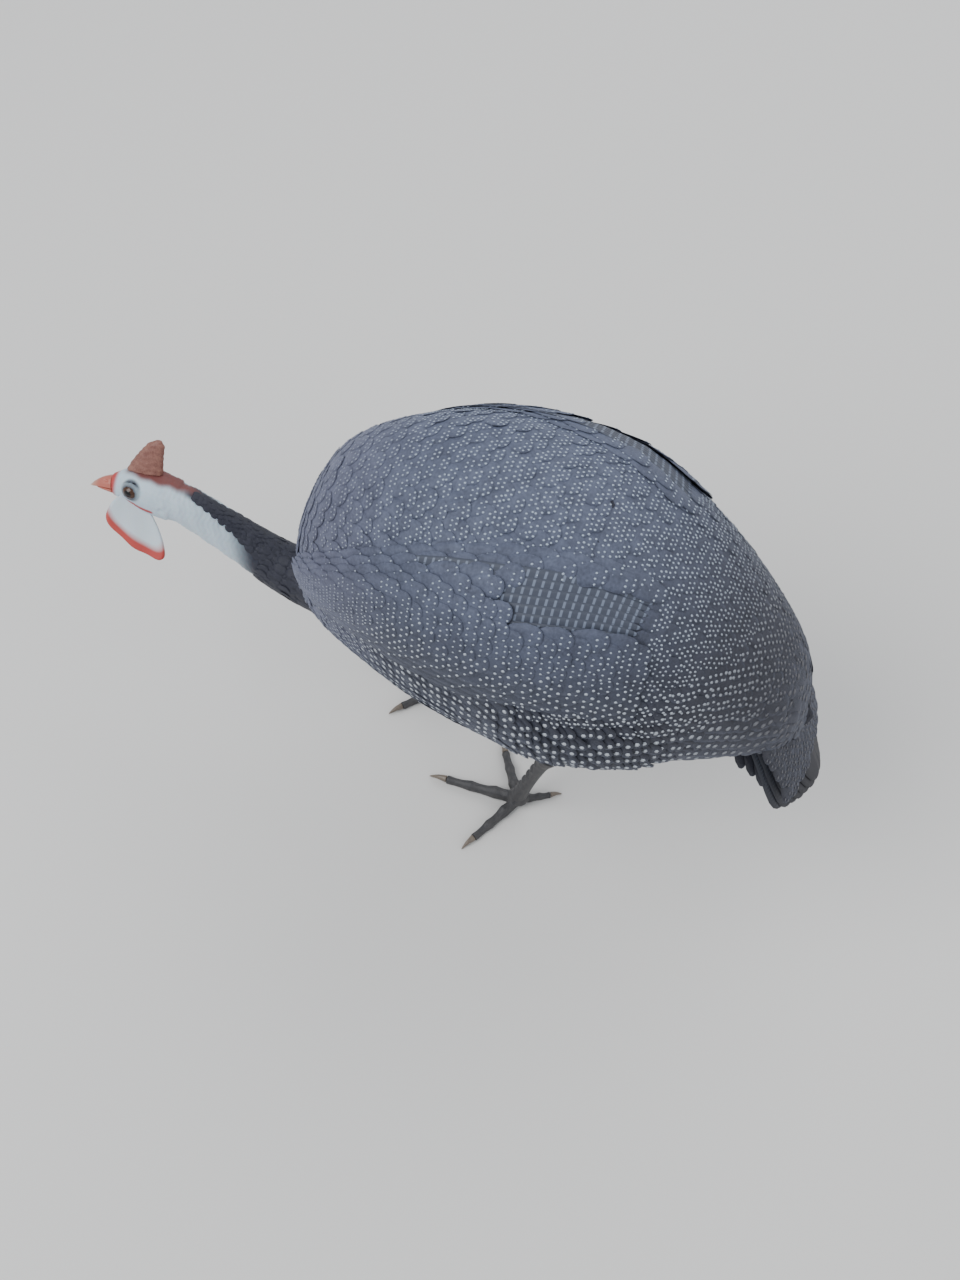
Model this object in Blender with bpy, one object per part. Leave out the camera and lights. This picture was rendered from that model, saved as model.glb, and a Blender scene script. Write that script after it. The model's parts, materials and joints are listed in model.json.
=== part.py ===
"""A helmeted guinea fowl in mid stride, life size, as a still museum model.

Metres, +Z up. The bird faces -Y and its left side is +X. While it is built, the body's widest
section is at y = 0 and its middle plane is x = 0. At the end everything is moved so that the origin
is on the floor under the middle of the bounding box. Places along the body are given as a reach
forward of the widest section, which is -Y.
"""
import math

import bmesh
import bpy
from mathutils import Matrix, Vector

# Gaps between neighbours, as built and as cut
GAP = 0.0003
CUT_GAP = 0.00035

# Body: reach forward, height of the belly, of the widest place and of the back, half width
BODY_STATIONS = (
    (0.1470, 0.200, 0.2140, 0.232, 0.012),
    (0.1420, 0.180, 0.2190, 0.263, 0.031),
    (0.1250, 0.158, 0.2260, 0.300, 0.048),
    (0.0920, 0.140, 0.2290, 0.328, 0.063),
    (0.0480, 0.126, 0.2290, 0.345, 0.078),
    (0.0000, 0.122, 0.2270, 0.348, 0.086),
    (-0.0500, 0.136, 0.2240, 0.337, 0.086),
    (-0.0980, 0.158, 0.2120, 0.303, 0.074),
    (-0.1390, 0.170, 0.1970, 0.262, 0.053),
    (-0.1650, 0.171, 0.1860, 0.226, 0.033),
    (-0.1750, 0.172, 0.1790, 0.194, 0.013),
)
BODY_RINGS = 23
BODY_AROUND = 32
BACK_SQUARENESS = 2.35
KEEL_SQUARENESS = 2.35

# Neck, from inside the breast to where it thins: reach, side, height, half width, half height
NECK_STATIONS = (
    (0.078, 0, 0.192, 0.032, 0.034),
    (0.106, -0.0005, 0.173, 0.0265, 0.0280),
    (0.134, -0.0015, 0.162, 0.0205, 0.0220),
    (0.165, -0.0035, 0.162, 0.0155, 0.0175),
    (0.196, -0.0065, 0.175, 0.0132, 0.0150),
)
# Behind and inside the back of the head: metres behind it, and below its middle
NECK_TOP_PLACES = ((0.0100, 0.0020), (-0.0040, -0.0005))
NECK_TOP_HALVES = (0.0122, 0.0135)
NECK_RINGS = 17
NECK_AROUND = 18

# Head, in its own frame: the point midway between the eyes is its origin, and forward is -Y
HEAD_PLACE = (-0.0065, -0.2620, 0.2045)
HEAD_YAW = math.radians(4.5)
HEAD_PITCH = math.radians(-4)
HEAD_ROLL = math.radians(-23)
# reach forward of the eyes, side, height, half width, height above, depth below
HEAD_STATIONS = (
    (-0.0245, 0, -0.0050, 0.0128, 0.0142, 0.0142),
    (-0.0180, 0, -0.0035, 0.0133, 0.0144, 0.0148),
    (-0.0100, 0, -0.0015, 0.0136, 0.0138, 0.0152),
    (-0.0020, 0, -0.0005, 0.0124, 0.0128, 0.0145),
    (0.0050, 0, -0.0015, 0.0105, 0.0112, 0.0125),
    (0.0110, 0, -0.0030, 0.0082, 0.0090, 0.0095),
    (0.0155, 0, -0.0040, 0.0065, 0.0072, 0.0070),
)
HEAD_RINGS = 17
HEAD_AROUND = 22
EYE_RADIUS = 0.0056
EYE_OUT = 0.0085
EYE_PLACE = (0.0010, 0.0012)
EYE_LOOK_FORWARD = math.radians(14)
EAR_PLACE = (-0.0190, -0.0068)
EAR_OUT = 0.0134
EAR_SIZE = (0.0018, 0.0022, 0.0026)
LID_OUT = 0.0026
LID_SIZE = (0.0064, 0.0070, 0.0028)

# Bill. The lip is how far each half bulges over the mouth line, and the halves stand BILL_OPEN apart
BILL_START = 0.0125
BILL_LENGTH = 0.0185
BILL_HALF_WIDTH = 0.0063
BILL_HEIGHT = 0.0068
BILL_DROOP = 0.0052
BILL_LIP = 0.0004
BILL_TIP_SHARE = 0.06
BILL_OPEN = 0.0012
LOWER_BILL_LENGTH = 0.0150
LOWER_BILL_DEPTH = 0.0042
LOWER_BILL_DROOP = 0.0030
MOUTH_LINE = -0.0048
NOSTRIL_PLACE = (0.0036, 0.0205, -0.0014)
NOSTRIL_SIZE = (0.0016, 0.0020, 0.0009)
GAPE_PLACE = (0.0086, 0.0095, -0.0054)
GAPE_SIZE = (0.0030, 0.0062, 0.0005)

# Casque
CASQUE_START = 0.0070
CASQUE_HEIGHT = 0.0290
CASQUE_BACK = 0.0035
CASQUE_LEAN = 0.0070
CASQUE_HALF_LENGTHS = (0.0125, 0.0042)
CASQUE_HALF_WIDTHS = (0.0052, 0.0024)
CASQUE_TOP_SHARE = 0.45

# Wattles: the root, and from there to the rim, as outwards, back and up. Their rear hangs lower
WATTLE_ROOT = Vector((0.0100, 0.0015, -0.0088))
WATTLE_HANG = Vector((0.0162, 0.0069, -0.0222))
WATTLE_HALF_WIDTH = 0.0185
WATTLE_TILT = math.radians(25)
WATTLE_THICKNESS = 0.0011
WATTLE_CUP = 0.0020
WATTLE_SUNK = 0.0035

# Vanes: shares of the length with the half width there, as shares of the widest
VANE_OUTLINE = ((0, 0.35), (0.3, 0.90), (0.7, 1.0), (0.92, 0.72), (1, 0.25))
VANE_ROOT_THICKNESS = 0.0008
VANE_TIP_THICKNESS = 0.0006

# Wings, measured over the body's surface from the bend of the wing: back, and down from its middle
# line, which climbs towards the rump
WING_POSITION = 0.125
WING_REACH_SHARE = 0.335
WING_ANGLE = math.radians(78)
WING_CLIMB = -3.0
FLANK_RADIUS = 0.086
ARM_LENGTH = 0.112
ARM_TOP = -0.047
ARM_LOW = 0.045
ARM_THICKNESS = 0.0088
ARM_EDGE = 0.0012
ARM_SUNK = 0.0030
# Tiers: count, upper and lower root (back, down), upper and lower length, half width, height over
# the body, upper and lower turn
WING_TIERS = {
    "primary": (3, (0.084, 0.024), (0.090, 0.036), (0.120, 0.112), 0.0095, 0.0024, (-0.12, -0.20)),
    "secondary": (7, (0.072, -0.036), (0.064, 0.034), (0.120, 0.124), 0.0096, 0.0048, (0.03, -0.08)),
    "great_covert": (6, (0.042, -0.034), (0.038, 0.032), (0.064, 0.060), 0.0104, 0.0072, (0.03, -0.07)),
    "median_covert": (5, (0.018, -0.028), (0.016, 0.028), (0.052, 0.048), 0.0108, 0.0096, (0.03, -0.05)),
}
SHINGLE = 0.078

# Tail
TAIL_ROOT = (-0.134, 0.205)
TAIL_DROOP = math.radians(58)
TAIL_BEND = 0.4
TAIL_ROOF = 4.0
TAIL_CORE_START = -0.012
TAIL_CORE_LENGTH = 0.062
TAIL_CORE_HALVES = (0.027, 0.018)
TAIL_CORE_HEIGHTS = (0.0160, 0.0125)
TAIL_CORE_END = (0.0012, 0.0052)
TAIL_LAYER = 0.00095
# Tiers: count, root along the tail, length, half width, height, spread of roots, spread of turns
TAIL_TIERS = {
    "tail_feather": (10, 0.012, 0.102, 0.0100, 0.0030, 0.0130, math.radians(12)),
    "upper_covert": (6, 0.002, 0.078, 0.0115, 0.0140, 0.0170, math.radians(14)),
    "under_covert": (4, 0.010, 0.060, 0.0110, -0.0074, 0.0120, math.radians(12)),
}

# Legs: each foot's hub, and how far its ankle is behind it
FOOT_REACH = {"left": -0.0025, "right": 0.0710}
FOOT_SIDE = {"left": 0.027, "right": -0.043}
ANKLE_BACK = {"left": 0.020, "right": 0.012}
ANKLE_HEIGHT = 0.078
HUB_HEIGHT = 0.0100
HUB_BALL = (0.0068, 0.0074, 0.0070)
HUB_BALL_LOWER = 0.0022
# The shank's radius at its waist, and what its ends and the ankle's knuckle add
SHANK_RADII = (0.0042, 0.0016, 0.0022)
THIGH_AHEAD = {"left": 0.034, "right": 0.004}
# The shin and thigh: shares of the way up, and the radius there
LEG_RISE = 0.092
LEG_SPREAD = -0.25
LEG_BELOW_ANKLE = 0.0010
LEG_OUTLINE = (
    (0, 0.0074), (0.06, 0.0094), (0.22, 0.0140), (0.42, 0.0190), (0.65, 0.0240), (0.85, 0.0260),
    (1, 0.0260),
)
# Toes: turn from straight ahead to the bird's left, length, radius at the root
TOES = {
    "left": {
        "inner": (math.radians(-58), 0.037, 0.0042),
        "middle": (math.radians(1), 0.0505, 0.0045),
        "outer": (math.radians(62), 0.041, 0.0042),
        "hind": (math.radians(-150), 0.022, 0.0034),
    },
    "right": {
        "inner": (math.radians(47), 0.037, 0.0042),
        "middle": (math.radians(-4), 0.0505, 0.0045),
        "outer": (math.radians(-50), 0.041, 0.0042),
        "hind": (math.radians(-184), 0.022, 0.0034),
    },
}
CLAW_LENGTH = {"inner": 0.0105, "middle": 0.0125, "outer": 0.0110, "hind": 0.0080}
CLAW_ARCH = 0.0010
TOE_TIP_SHARE = 0.62
SCUTES = 7
SCUTE_AHEAD = 0.0040
SCUTE_SIZE = (0.0036, 0.0018, 0.0034)

SIDES = {"left": 1, "right": -1}


def clear_scene():
    for thing in list(bpy.data.objects):
        bpy.data.objects.remove(thing)


def new_collection(name):
    made = bpy.data.collections.new(name)
    bpy.context.scene.collection.children.link(made)
    return made


def finish(name, colour, roughness):
    made = bpy.data.materials.new(name)
    made.use_nodes = True
    shader = made.node_tree.nodes["Principled BSDF"]
    shader.inputs["Base Color"].default_value = (*colour, 1)
    shader.inputs["Roughness"].default_value = roughness
    made.diffuse_color = (*colour, 1)
    return made


def smooth_curve(rows, position):
    """Catmull-Rom through the rows, position from 0 to 1 over them all."""
    spans = len(rows) - 1
    place = min(max(position, 0.0), 1.0) * spans
    first = min(int(place), spans - 1)
    part = place - first
    before = rows[max(first - 1, 0)]
    here, after = rows[first], rows[first + 1]
    beyond = rows[min(first + 2, spans)]
    weights = (
        (-part + 2 * part**2 - part**3) / 2,
        (2 - 5 * part**2 + 3 * part**3) / 2,
        (part + 4 * part**2 - 3 * part**3) / 2,
        (-(part**2) + part**3) / 2,
    )
    return [
        sum(w * row[k] for w, row in zip(weights, (before, here, after, beyond)))
        for k in range(len(here))
    ]


def new_object(name, bm, material, collection):
    mesh = bpy.data.meshes.new(name)
    bmesh.ops.recalc_face_normals(bm, faces=bm.faces)
    bm.to_mesh(mesh)
    bm.free()
    made = bpy.data.objects.new(name, mesh)
    collection.objects.link(made)
    if material:
        mesh.materials.append(material)
    mesh.shade_smooth()
    return made


def joined_rings(name, rings, material, collection):
    """One closed skin over rings of equal length. The first and second half of a ring are split into
    triangles with opposite diagonals, so that a thin plate's two faces are split alike."""
    bm = bmesh.new()
    rows = [[bm.verts.new(point) for point in ring] for ring in rings]
    count = len(rows[0])
    for row, following in zip(rows, rows[1:]):
        for i in range(count):
            j = (i + 1) % count
            a, b, c, d = row[i], row[j], following[j], following[i]
            if i < count // 2:
                bm.faces.new((a, b, c))
                bm.faces.new((a, c, d))
            else:
                bm.faces.new((a, b, d))
                bm.faces.new((b, c, d))
    for ring in (rows[0][::-1], rows[-1]):
        bm.faces.new(ring)
    return new_object(name, bm, material, collection)


def power_circle(angle, above=2.0, below=2.0):
    """Sine and cosine bent towards a rounded square, by one exponent above the middle and another
    below it. Angle 0 is up, and it turns to the left side."""
    across, up = math.sin(angle), math.cos(angle)
    power = above if up > 0 else below
    size = (abs(across) ** power + abs(up) ** power) ** (-1 / power)
    return across * size, up * size


def axis_frame(rows, position):
    """Values at a position along rows of (reach, side, height, ...), the point there, and the
    directions to the left and up across the axis."""
    step = 0.01
    here = smooth_curve(rows, position)
    ahead = smooth_curve(rows, position - step)
    behind = smooth_curve(rows, position + step)
    along = Vector((ahead[1] - behind[1], behind[0] - ahead[0], ahead[2] - behind[2])).normalized()
    left = Vector((0, 0, 1)).cross(along).normalized()
    if left.x < 0:
        left = -left
    up = left.cross(along)
    if up.z < 0:
        up = -up
    return here[3:], Vector((here[1], -here[0], here[2])), left, up


def body_point(position, angle, rise=0.0):
    """A point on the body: position from breast 0 to rump 1, angle from the back, and its height
    over the surface. Its sections stand upright."""
    reach, low, axis, high, half = smooth_curve(BODY_STATIONS, position)
    across, tall = power_circle(angle, BACK_SQUARENESS, KEEL_SQUARENESS)
    tall *= high - axis if tall > 0 else axis - low
    point = Vector((across * half, -reach, axis + tall))
    if rise:
        step = 0.004
        lengthways = body_point(position + step, angle) - body_point(position - step, angle)
        around = body_point(position, angle + step) - body_point(position, angle - step)
        out = around.cross(lengthways).normalized()
        point += out * rise
    return point


def body_shell(name, rise, material, collection):
    rings = []
    for i in range(BODY_RINGS):
        position = i / (BODY_RINGS - 1)
        rings.append(
            [body_point(position, 2 * math.pi * k / BODY_AROUND, rise) for k in range(BODY_AROUND)]
        )
    if rise:
        # The end rings' normals run outwards only, so the caps are moved along the axis too.
        for ring, side in ((rings[0], -1), (rings[-1], 1)):
            for point in ring:
                point.y += side * rise
    return joined_rings(name, rings, material, collection)


def apply_modifier(target, modifier):
    bpy.context.view_layer.objects.active = target
    bpy.context.view_layer.update()
    with bpy.context.temp_override(object=target, active_object=target):
        bpy.ops.object.modifier_apply(modifier=modifier.name)


def keep_largest(target):
    """Keeps the closed surface with the most volume."""
    bm = bmesh.new()
    bm.from_mesh(target.data)
    left = set(bm.verts)
    groups = []
    while left:
        seed = left.pop()
        group, edge = {seed}, [seed]
        while edge:
            for link in edge.pop().link_edges:
                for vert in link.verts:
                    if vert not in group:
                        group.add(vert)
                        edge.append(vert)
        left -= group
        groups.append(group)

    def room(group):
        faces = {face for vert in group for face in vert.link_faces}
        return abs(
            sum(
                face.calc_area() * face.normal.dot(face.calc_center_median()) for face in faces
            )
        )

    groups.sort(key=room)
    for group in groups[:-1]:
        bmesh.ops.delete(bm, geom=list(group), context="VERTS")
    bmesh.ops.dissolve_degenerate(bm, dist=0.000002, edges=bm.edges)
    bmesh.ops.triangulate(bm, faces=bm.faces)
    bm.to_mesh(target.data)
    bm.free()


def boolean(target, operation, other, solver="EXACT"):
    modifier = target.modifiers.new(operation.lower(), "BOOLEAN")
    modifier.operation = operation
    modifier.solver = solver
    if isinstance(other, bpy.types.Collection):
        modifier.operand_type = "COLLECTION"
        modifier.collection = other
    else:
        modifier.object = other
    apply_modifier(target, modifier)


def cut_away(target, *cutters):
    """Cuts each cutter from the target and removes it."""
    for cutter in cutters:
        boolean(target, "DIFFERENCE", cutter)
        bpy.data.objects.remove(cutter)
    keep_largest(target)


def unite(target, pieces):
    """Joins a list of closed pieces to the target in one union. MANIFOLD, because EXACT is slow on
    many thin pieces."""
    gathered = new_collection("pieces")
    for piece in pieces:
        for holder in list(piece.users_collection):
            holder.objects.unlink(piece)
        gathered.objects.link(piece)
    boolean(target, "UNION", gathered, "MANIFOLD")
    for piece in pieces:
        bpy.data.objects.remove(piece)
    bpy.data.collections.remove(gathered)
    keep_largest(target)


def loft_along(name, rows, count, around, material, collection):
    """A closed skin over elliptical sections square to the curve of rows of (reach, side, height,
    half width, height above, depth below), where the last two may be one number."""
    rings = []
    for i in range(count):
        halves, middle, left, up = axis_frame(rows, i / (count - 1))
        ring = []
        for k in range(around):
            across, tall = power_circle(2 * math.pi * k / around)
            tall *= halves[1] if tall > 0 else halves[-1]
            ring.append(middle + left * (across * halves[0]) + up * tall)
        rings.append(ring)
    return joined_rings(name, rings, material, collection)


def swelled(target, rise, name):
    """A copy of a closed mesh with each point moved out along its normal."""
    made = bpy.data.objects.new(name, target.data.copy())
    made.matrix_world = target.matrix_world
    bpy.context.scene.collection.objects.link(made)
    bm = bmesh.new()
    bm.from_mesh(made.data)
    bm.normal_update()
    moves = [vert.normal.copy() * rise for vert in bm.verts]
    for vert, move in zip(bm.verts, moves):
        vert.co += move * vert.calc_shell_factor()
    bm.to_mesh(made.data)
    bm.free()
    return made


def head_matrix():
    return (
        Matrix.Translation(HEAD_PLACE)
        @ Matrix.Rotation(HEAD_YAW, 4, "Z")
        @ Matrix.Rotation(HEAD_PITCH, 4, "X")
        @ Matrix.Rotation(HEAD_ROLL, 4, "Y")
    )


def on_head(target):
    target.data.transform(head_matrix())
    return target


def ball(name, centre, radii, collection, turn=None, segments=16, rings=10):
    bm = bmesh.new()
    shape = Matrix.Translation(centre) @ (turn or Matrix.Identity(4)) @ Matrix.Diagonal((*radii, 1))
    bmesh.ops.create_uvsphere(bm, u_segments=segments, v_segments=rings, radius=1, matrix=shape)
    return new_object(name, bm, None, collection)


def build_torso(parts, materials):
    return body_shell("torso", 0.0, materials["plumage"], parts)


def build_neck(parts, materials, helpers, head):
    """The neck runs from inside the breast to inside the back of the head, and both are cut off it."""
    place = head_matrix()
    back, height = -HEAD_STATIONS[0][0], HEAD_STATIONS[0][2]
    rows = list(NECK_STATIONS)
    for behind, lower in NECK_TOP_PLACES:
        end = place @ Vector((0, back + behind, height - lower))
        rows.append((-end.y, end.x, end.z, *NECK_TOP_HALVES))
    neck = loft_along("neck", rows, NECK_RINGS, NECK_AROUND, materials["neck"], parts)
    cut_away(neck, body_shell("cut_body", CUT_GAP, None, helpers), swelled(head, CUT_GAP, "cut_head"))


def eye_centre(sign):
    return Vector((sign * EYE_OUT, -EYE_PLACE[0], EYE_PLACE[1]))


def lid(side, collection):
    """A low ring around the eye, standing a little out of the head."""
    sign = SIDES[side]
    look = Matrix.Rotation(-sign * EYE_LOOK_FORWARD, 4, "Z")
    rim = eye_centre(sign) + look @ Vector((sign * LID_OUT, 0, 0))
    turn = look @ Matrix.Rotation(math.pi / 2, 4, "Y")
    return ball(f"lid_{side}", rim, LID_SIZE, collection, turn=turn, segments=16, rings=6)


def face_cutters(side, collection):
    """The eye's socket, the ear's opening and the line of the mouth behind the bill."""
    sign = SIDES[side]
    socket = ball(f"socket_{side}", eye_centre(sign), (EYE_RADIUS + GAP,) * 3, collection)
    ear_middle = (sign * EAR_OUT, -EAR_PLACE[0], EAR_PLACE[1])
    ear = ball(f"ear_pit_{side}", ear_middle, EAR_SIZE, collection, segments=8, rings=4)
    gape_middle = (sign * GAPE_PLACE[0], -GAPE_PLACE[1], GAPE_PLACE[2])
    gape = ball(f"gape_{side}", gape_middle, GAPE_SIZE, collection, segments=8, rings=4)
    return [socket, ear, gape]


def build_head(parts, materials, helpers):
    head = loft_along("head", HEAD_STATIONS, HEAD_RINGS, HEAD_AROUND, materials["face"], parts)
    unite(head, [lid(side, helpers) for side in SIDES])
    cut_away(head, *(cutter for side in SIDES for cutter in face_cutters(side, helpers)))
    return on_head(head)


def build_eyes(parts, materials):
    for side, sign in SIDES.items():
        eye = ball(f"eye_{side}", eye_centre(sign), (EYE_RADIUS,) * 3, parts)
        eye.data.materials.append(materials["eye"])
        on_head(eye)


def build_bill(parts, materials, helpers, head):
    def bill(name, length, top, bottom, droop):
        rows = []
        spans = 8
        for i in range(spans + 1):
            part = i / spans
            taper = (1 - part**1.7) ** 0.75 * (1 - BILL_TIP_SHARE) + BILL_TIP_SHARE
            reach = BILL_START + length * part
            ring = []
            for k in range(12):
                angle = 2 * math.pi * k / 12
                across, tall = math.sin(angle), math.cos(angle)
                height = MOUTH_LINE + (top if tall > 0 else bottom) * taper * tall
                height -= droop * part**2.2
                ring.append(Vector((across * BILL_HALF_WIDTH * taper, -reach, height)))
            rows.append(ring)
        return joined_rings(name, rows, materials["bill"], parts)

    upper = bill("bill_upper", BILL_LENGTH, BILL_HEIGHT, BILL_LIP, BILL_DROOP)
    lower = bill("bill_lower", LOWER_BILL_LENGTH, BILL_LIP, LOWER_BILL_DEPTH, LOWER_BILL_DROOP)
    for sign in SIDES.values():
        middle = (sign * NOSTRIL_PLACE[0], -NOSTRIL_PLACE[1], NOSTRIL_PLACE[2])
        cut_away(upper, ball("nostril", middle, NOSTRIL_SIZE, helpers, segments=8, rings=6))
    for shape, shift in ((upper, BILL_OPEN / 2), (lower, -BILL_OPEN / 2)):
        shape.data.transform(Matrix.Translation((0, 0, shift)))
        on_head(shape)
        cut_away(shape, swelled(head, CUT_GAP, "cut_head"))
    return upper, lower


def build_casque(parts, materials, head):
    """The horn on the crown, long and narrow at its foot, leaning back to a blunt top."""
    rings = []
    spans = 8
    around = 12
    for i in range(spans + 1):
        part = i / spans
        closing = 1 if i < spans else CASQUE_TOP_SHARE
        length, width = (
            (foot + (top - foot) * part**1.2) * closing
            for foot, top in (CASQUE_HALF_LENGTHS, CASQUE_HALF_WIDTHS)
        )
        middle = CASQUE_BACK + CASQUE_LEAN * part**1.6
        height = CASQUE_START + CASQUE_HEIGHT * part
        ring = []
        for k in range(around):
            angle = 2 * math.pi * k / around
            ring.append(Vector((math.sin(angle) * width, middle + math.cos(angle) * length, height)))
        rings.append(ring)
    casque = joined_rings("casque", rings, materials["horn"], parts)
    on_head(casque)
    cut_away(casque, swelled(head, CUT_GAP, "cut_head"))
    return casque


def build_wattles(parts, materials, head, blockers):
    """Each wattle hangs from the corner of the mouth, back and outwards: narrow at its root, broad
    and rounded at its free rim, and cupped."""
    rearward = Vector((0, math.cos(WATTLE_TILT), -math.sin(WATTLE_TILT)))
    for side, sign in SIDES.items():
        outward = Vector((1, 0, 0))
        rings = []
        spans = 9
        for i in range(spans + 1):
            part = i / spans
            half = WATTLE_HALF_WIDTH * (0.35 + 0.65 * math.sin(math.pi * (0.08 + 0.62 * part)) ** 0.9)
            if i == spans:
                half *= 0.6
            thick = WATTLE_THICKNESS * (1.5 - 0.5 * part)
            middle = WATTLE_ROOT + WATTLE_HANG * part
            middle.x -= WATTLE_SUNK + WATTLE_HANG.x * (part - part**1.3)
            cup = WATTLE_CUP * part
            ring = []
            for face, order in ((1, (-1, -0.5, 0, 0.5, 1)), (-1, (1, 0.5, 0, -0.5, -1))):
                for across in order:
                    out = outward * (face * thick + cup * across**2)
                    point = middle + rearward * (across * half) + out
                    ring.append(Vector((sign * point.x, point.y, point.z)))
            rings.append(ring)
        wattle = joined_rings(f"wattle_{side}", rings, materials["wattle"], parts)
        on_head(wattle)
        cut_away(wattle, *(swelled(thing, CUT_GAP, "cut_face") for thing in (head, *blockers)))


def vane(name, place, length, half, collection):
    """A thin flat feather: place gives the point for metres along it, to its side and over it."""
    rings = []
    for share, width in VANE_OUTLINE:
        thick = VANE_ROOT_THICKNESS + (VANE_TIP_THICKNESS - VANE_ROOT_THICKNESS) * share
        reach = half * width
        ring = [place(length * share, across, thick / 2) for across in (-reach, reach)]
        ring += [place(length * share, across, -thick / 2) for across in (reach, -reach)]
        rings.append(ring)
    return joined_rings(name, rings, None, collection)


def wing_point(side, back, down, rise):
    """A point over the flank: metres back from the bend of the wing, and down from its middle line."""
    position = WING_POSITION + back / WING_REACH_SHARE
    angle = WING_ANGLE + WING_CLIMB * back + down / FLANK_RADIUS
    point = body_point(position, angle, rise)
    point.x *= SIDES[side]
    return point


def wing_arm(side, material, collection):
    """The folded arm, a domed pad under the coverts that carries the roots of all the vanes."""
    rings = []
    spans = 9
    across_steps = 6
    for i in range(spans + 1):
        part = i / spans
        spread = max(math.sin(math.pi * (0.05 + 0.80 * part)) ** 0.5 * (1 - 0.35 * part**4), 0.08)
        thick = ARM_THICKNESS * (0.30 + 0.70 * math.sin(math.pi * (0.10 + 0.86 * part)) ** 0.6)
        outer, inner = [], []
        for k in range(across_steps + 1):
            share = k / across_steps
            down = spread * (ARM_TOP + (ARM_LOW - ARM_TOP) * share)
            dome = 1 - abs(2 * share - 1) ** 2.6
            outer.append(wing_point(side, ARM_LENGTH * part, down, ARM_EDGE + thick * dome))
            inner.append(wing_point(side, ARM_LENGTH * part, down, -ARM_SUNK))
        rings.append(outer + inner[::-1])
    return joined_rings(f"wing_{side}", rings, material, collection)


def wing_tier(side, tier, collection):
    """One row of vanes, from the upper one to the lower one, each lying over the next below it."""
    count, upper, lower, lengths, half, rise, turns = WING_TIERS[tier]
    row = []
    for i in range(count):
        share = i / (count - 1)
        root = [a + (b - a) * share for a, b in zip(upper, lower)]
        length = lengths[0] + (lengths[1] - lengths[0]) * share
        turn = turns[0] + (turns[1] - turns[0]) * share

        def place(along, across, over, root=root, turn=turn):
            back = root[0] + along * math.cos(turn) - across * math.sin(turn)
            down = root[1] + along * math.sin(turn) + across * math.cos(turn)
            return wing_point(side, back, down, rise + over + SHINGLE * across)

        row.append(vane(f"{tier}_{side}_{i}", place, length, half, collection))
    return row


def build_wings(parts, materials, helpers):
    for side in SIDES:
        wing = wing_arm(side, materials["plumage"], parts)
        vanes = [piece for tier in WING_TIERS for piece in wing_tier(side, tier, helpers)]
        unite(wing, vanes)
        cut_away(wing, body_shell("cut_body", CUT_GAP, None, helpers))


def tail_point(along, across, rise):
    """A point over the tail: metres from its root along the droop, metres to the left, and height
    over its sheet. The sheet is a low roof, with its sides turned down."""
    droop = TAIL_DROOP + TAIL_BEND * along
    start = Vector((0, -TAIL_ROOT[0], TAIL_ROOT[1]))
    back = Vector((0, math.cos(droop), -math.sin(droop)))
    up = Vector((0, math.sin(droop), math.cos(droop)))
    roof = TAIL_ROOF * across**2
    return start + back * along + Vector((across, 0, 0)) + up * (rise - roof)


def tail_core(material, collection):
    rings = []
    spans = 8
    for i in range(spans + 1):
        part = i / spans
        along = TAIL_CORE_START + (TAIL_CORE_LENGTH - TAIL_CORE_START) * part
        half = TAIL_CORE_HALVES[0] + (TAIL_CORE_HALVES[1] - TAIL_CORE_HALVES[0]) * part
        top = TAIL_CORE_HEIGHTS[0] * (1 - part) ** 0.6 + TAIL_CORE_END[0]
        low = -TAIL_CORE_HEIGHTS[1] * (1 - part) ** 0.6 - TAIL_CORE_END[1]
        ring = []
        for across in (-1, -0.6, -0.2, 0.2, 0.6, 1):
            ring.append(tail_point(along, across * half, top * (1 - 0.7 * across**2)))
        for across in (1, 0.6, 0.2, -0.2, -0.6, -1):
            ring.append(tail_point(along, across * half, low * (1 - 0.7 * across**2)))
        rings.append(ring)
    return joined_rings("tail", rings, material, collection)


def tail_tier(tier, collection):
    """A fan of vanes, the middle pair outermost and each pair further out one layer further in."""
    count, start, length, half, rise, roots, turns = TAIL_TIERS[tier]
    row = []
    for i in range(count):
        share = (2 * i + 1 - count) / (count - 1)
        rank = abs(2 * i + 1 - count) - (1 if share > 0 else 0)
        layer = rise - math.copysign(TAIL_LAYER * rank, rise)
        turn = share * turns
        reach = length * (1 - 0.10 * share**2)

        def place(along, across, over, share=share, turn=turn, layer=layer):
            back = start + along * math.cos(turn) - across * math.sin(turn)
            side = share * roots + along * math.sin(turn) + across * math.cos(turn)
            return tail_point(back, side, layer + over)

        row.append(vane(f"{tier}_{i}", place, reach, half, collection))
    return row


def build_tail(parts, materials, helpers):
    tail = tail_core(materials["plumage"], parts)
    unite(tail, [piece for tier in TAIL_TIERS for piece in tail_tier(tier, helpers)])
    cut_away(tail, body_shell("cut_body", CUT_GAP, None, helpers))


def tube(name, points, radii, around, material, collection, flat=1.0):
    """A closed tube through points with a radius at each. flat narrows it along Y."""
    rings = []
    for i, (point, radius) in enumerate(zip(points, radii)):
        ahead = points[min(i + 1, len(points) - 1)]
        behind = points[max(i - 1, 0)]
        along = (ahead - behind).normalized()
        left = Vector((1, 0, 0))
        left = (left - along * left.dot(along)).normalized()
        front = along.cross(left)
        rings.append(
            [
                point
                + left * (math.sin(2 * math.pi * k / around) * radius)
                + front * (math.cos(2 * math.pi * k / around) * radius * flat)
                for k in range(around)
            ]
        )
    return joined_rings(name, rings, material, collection)


def toe_frame(side, toe):
    turn, length, radius = TOES[side][toe]
    hub = Vector((FOOT_SIDE[side], -FOOT_REACH[side], 0))
    ahead = Vector((math.sin(turn), -math.cos(turn), 0))
    left = Vector((math.cos(turn), math.sin(turn), 0))
    return hub, ahead, left, length, radius


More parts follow.
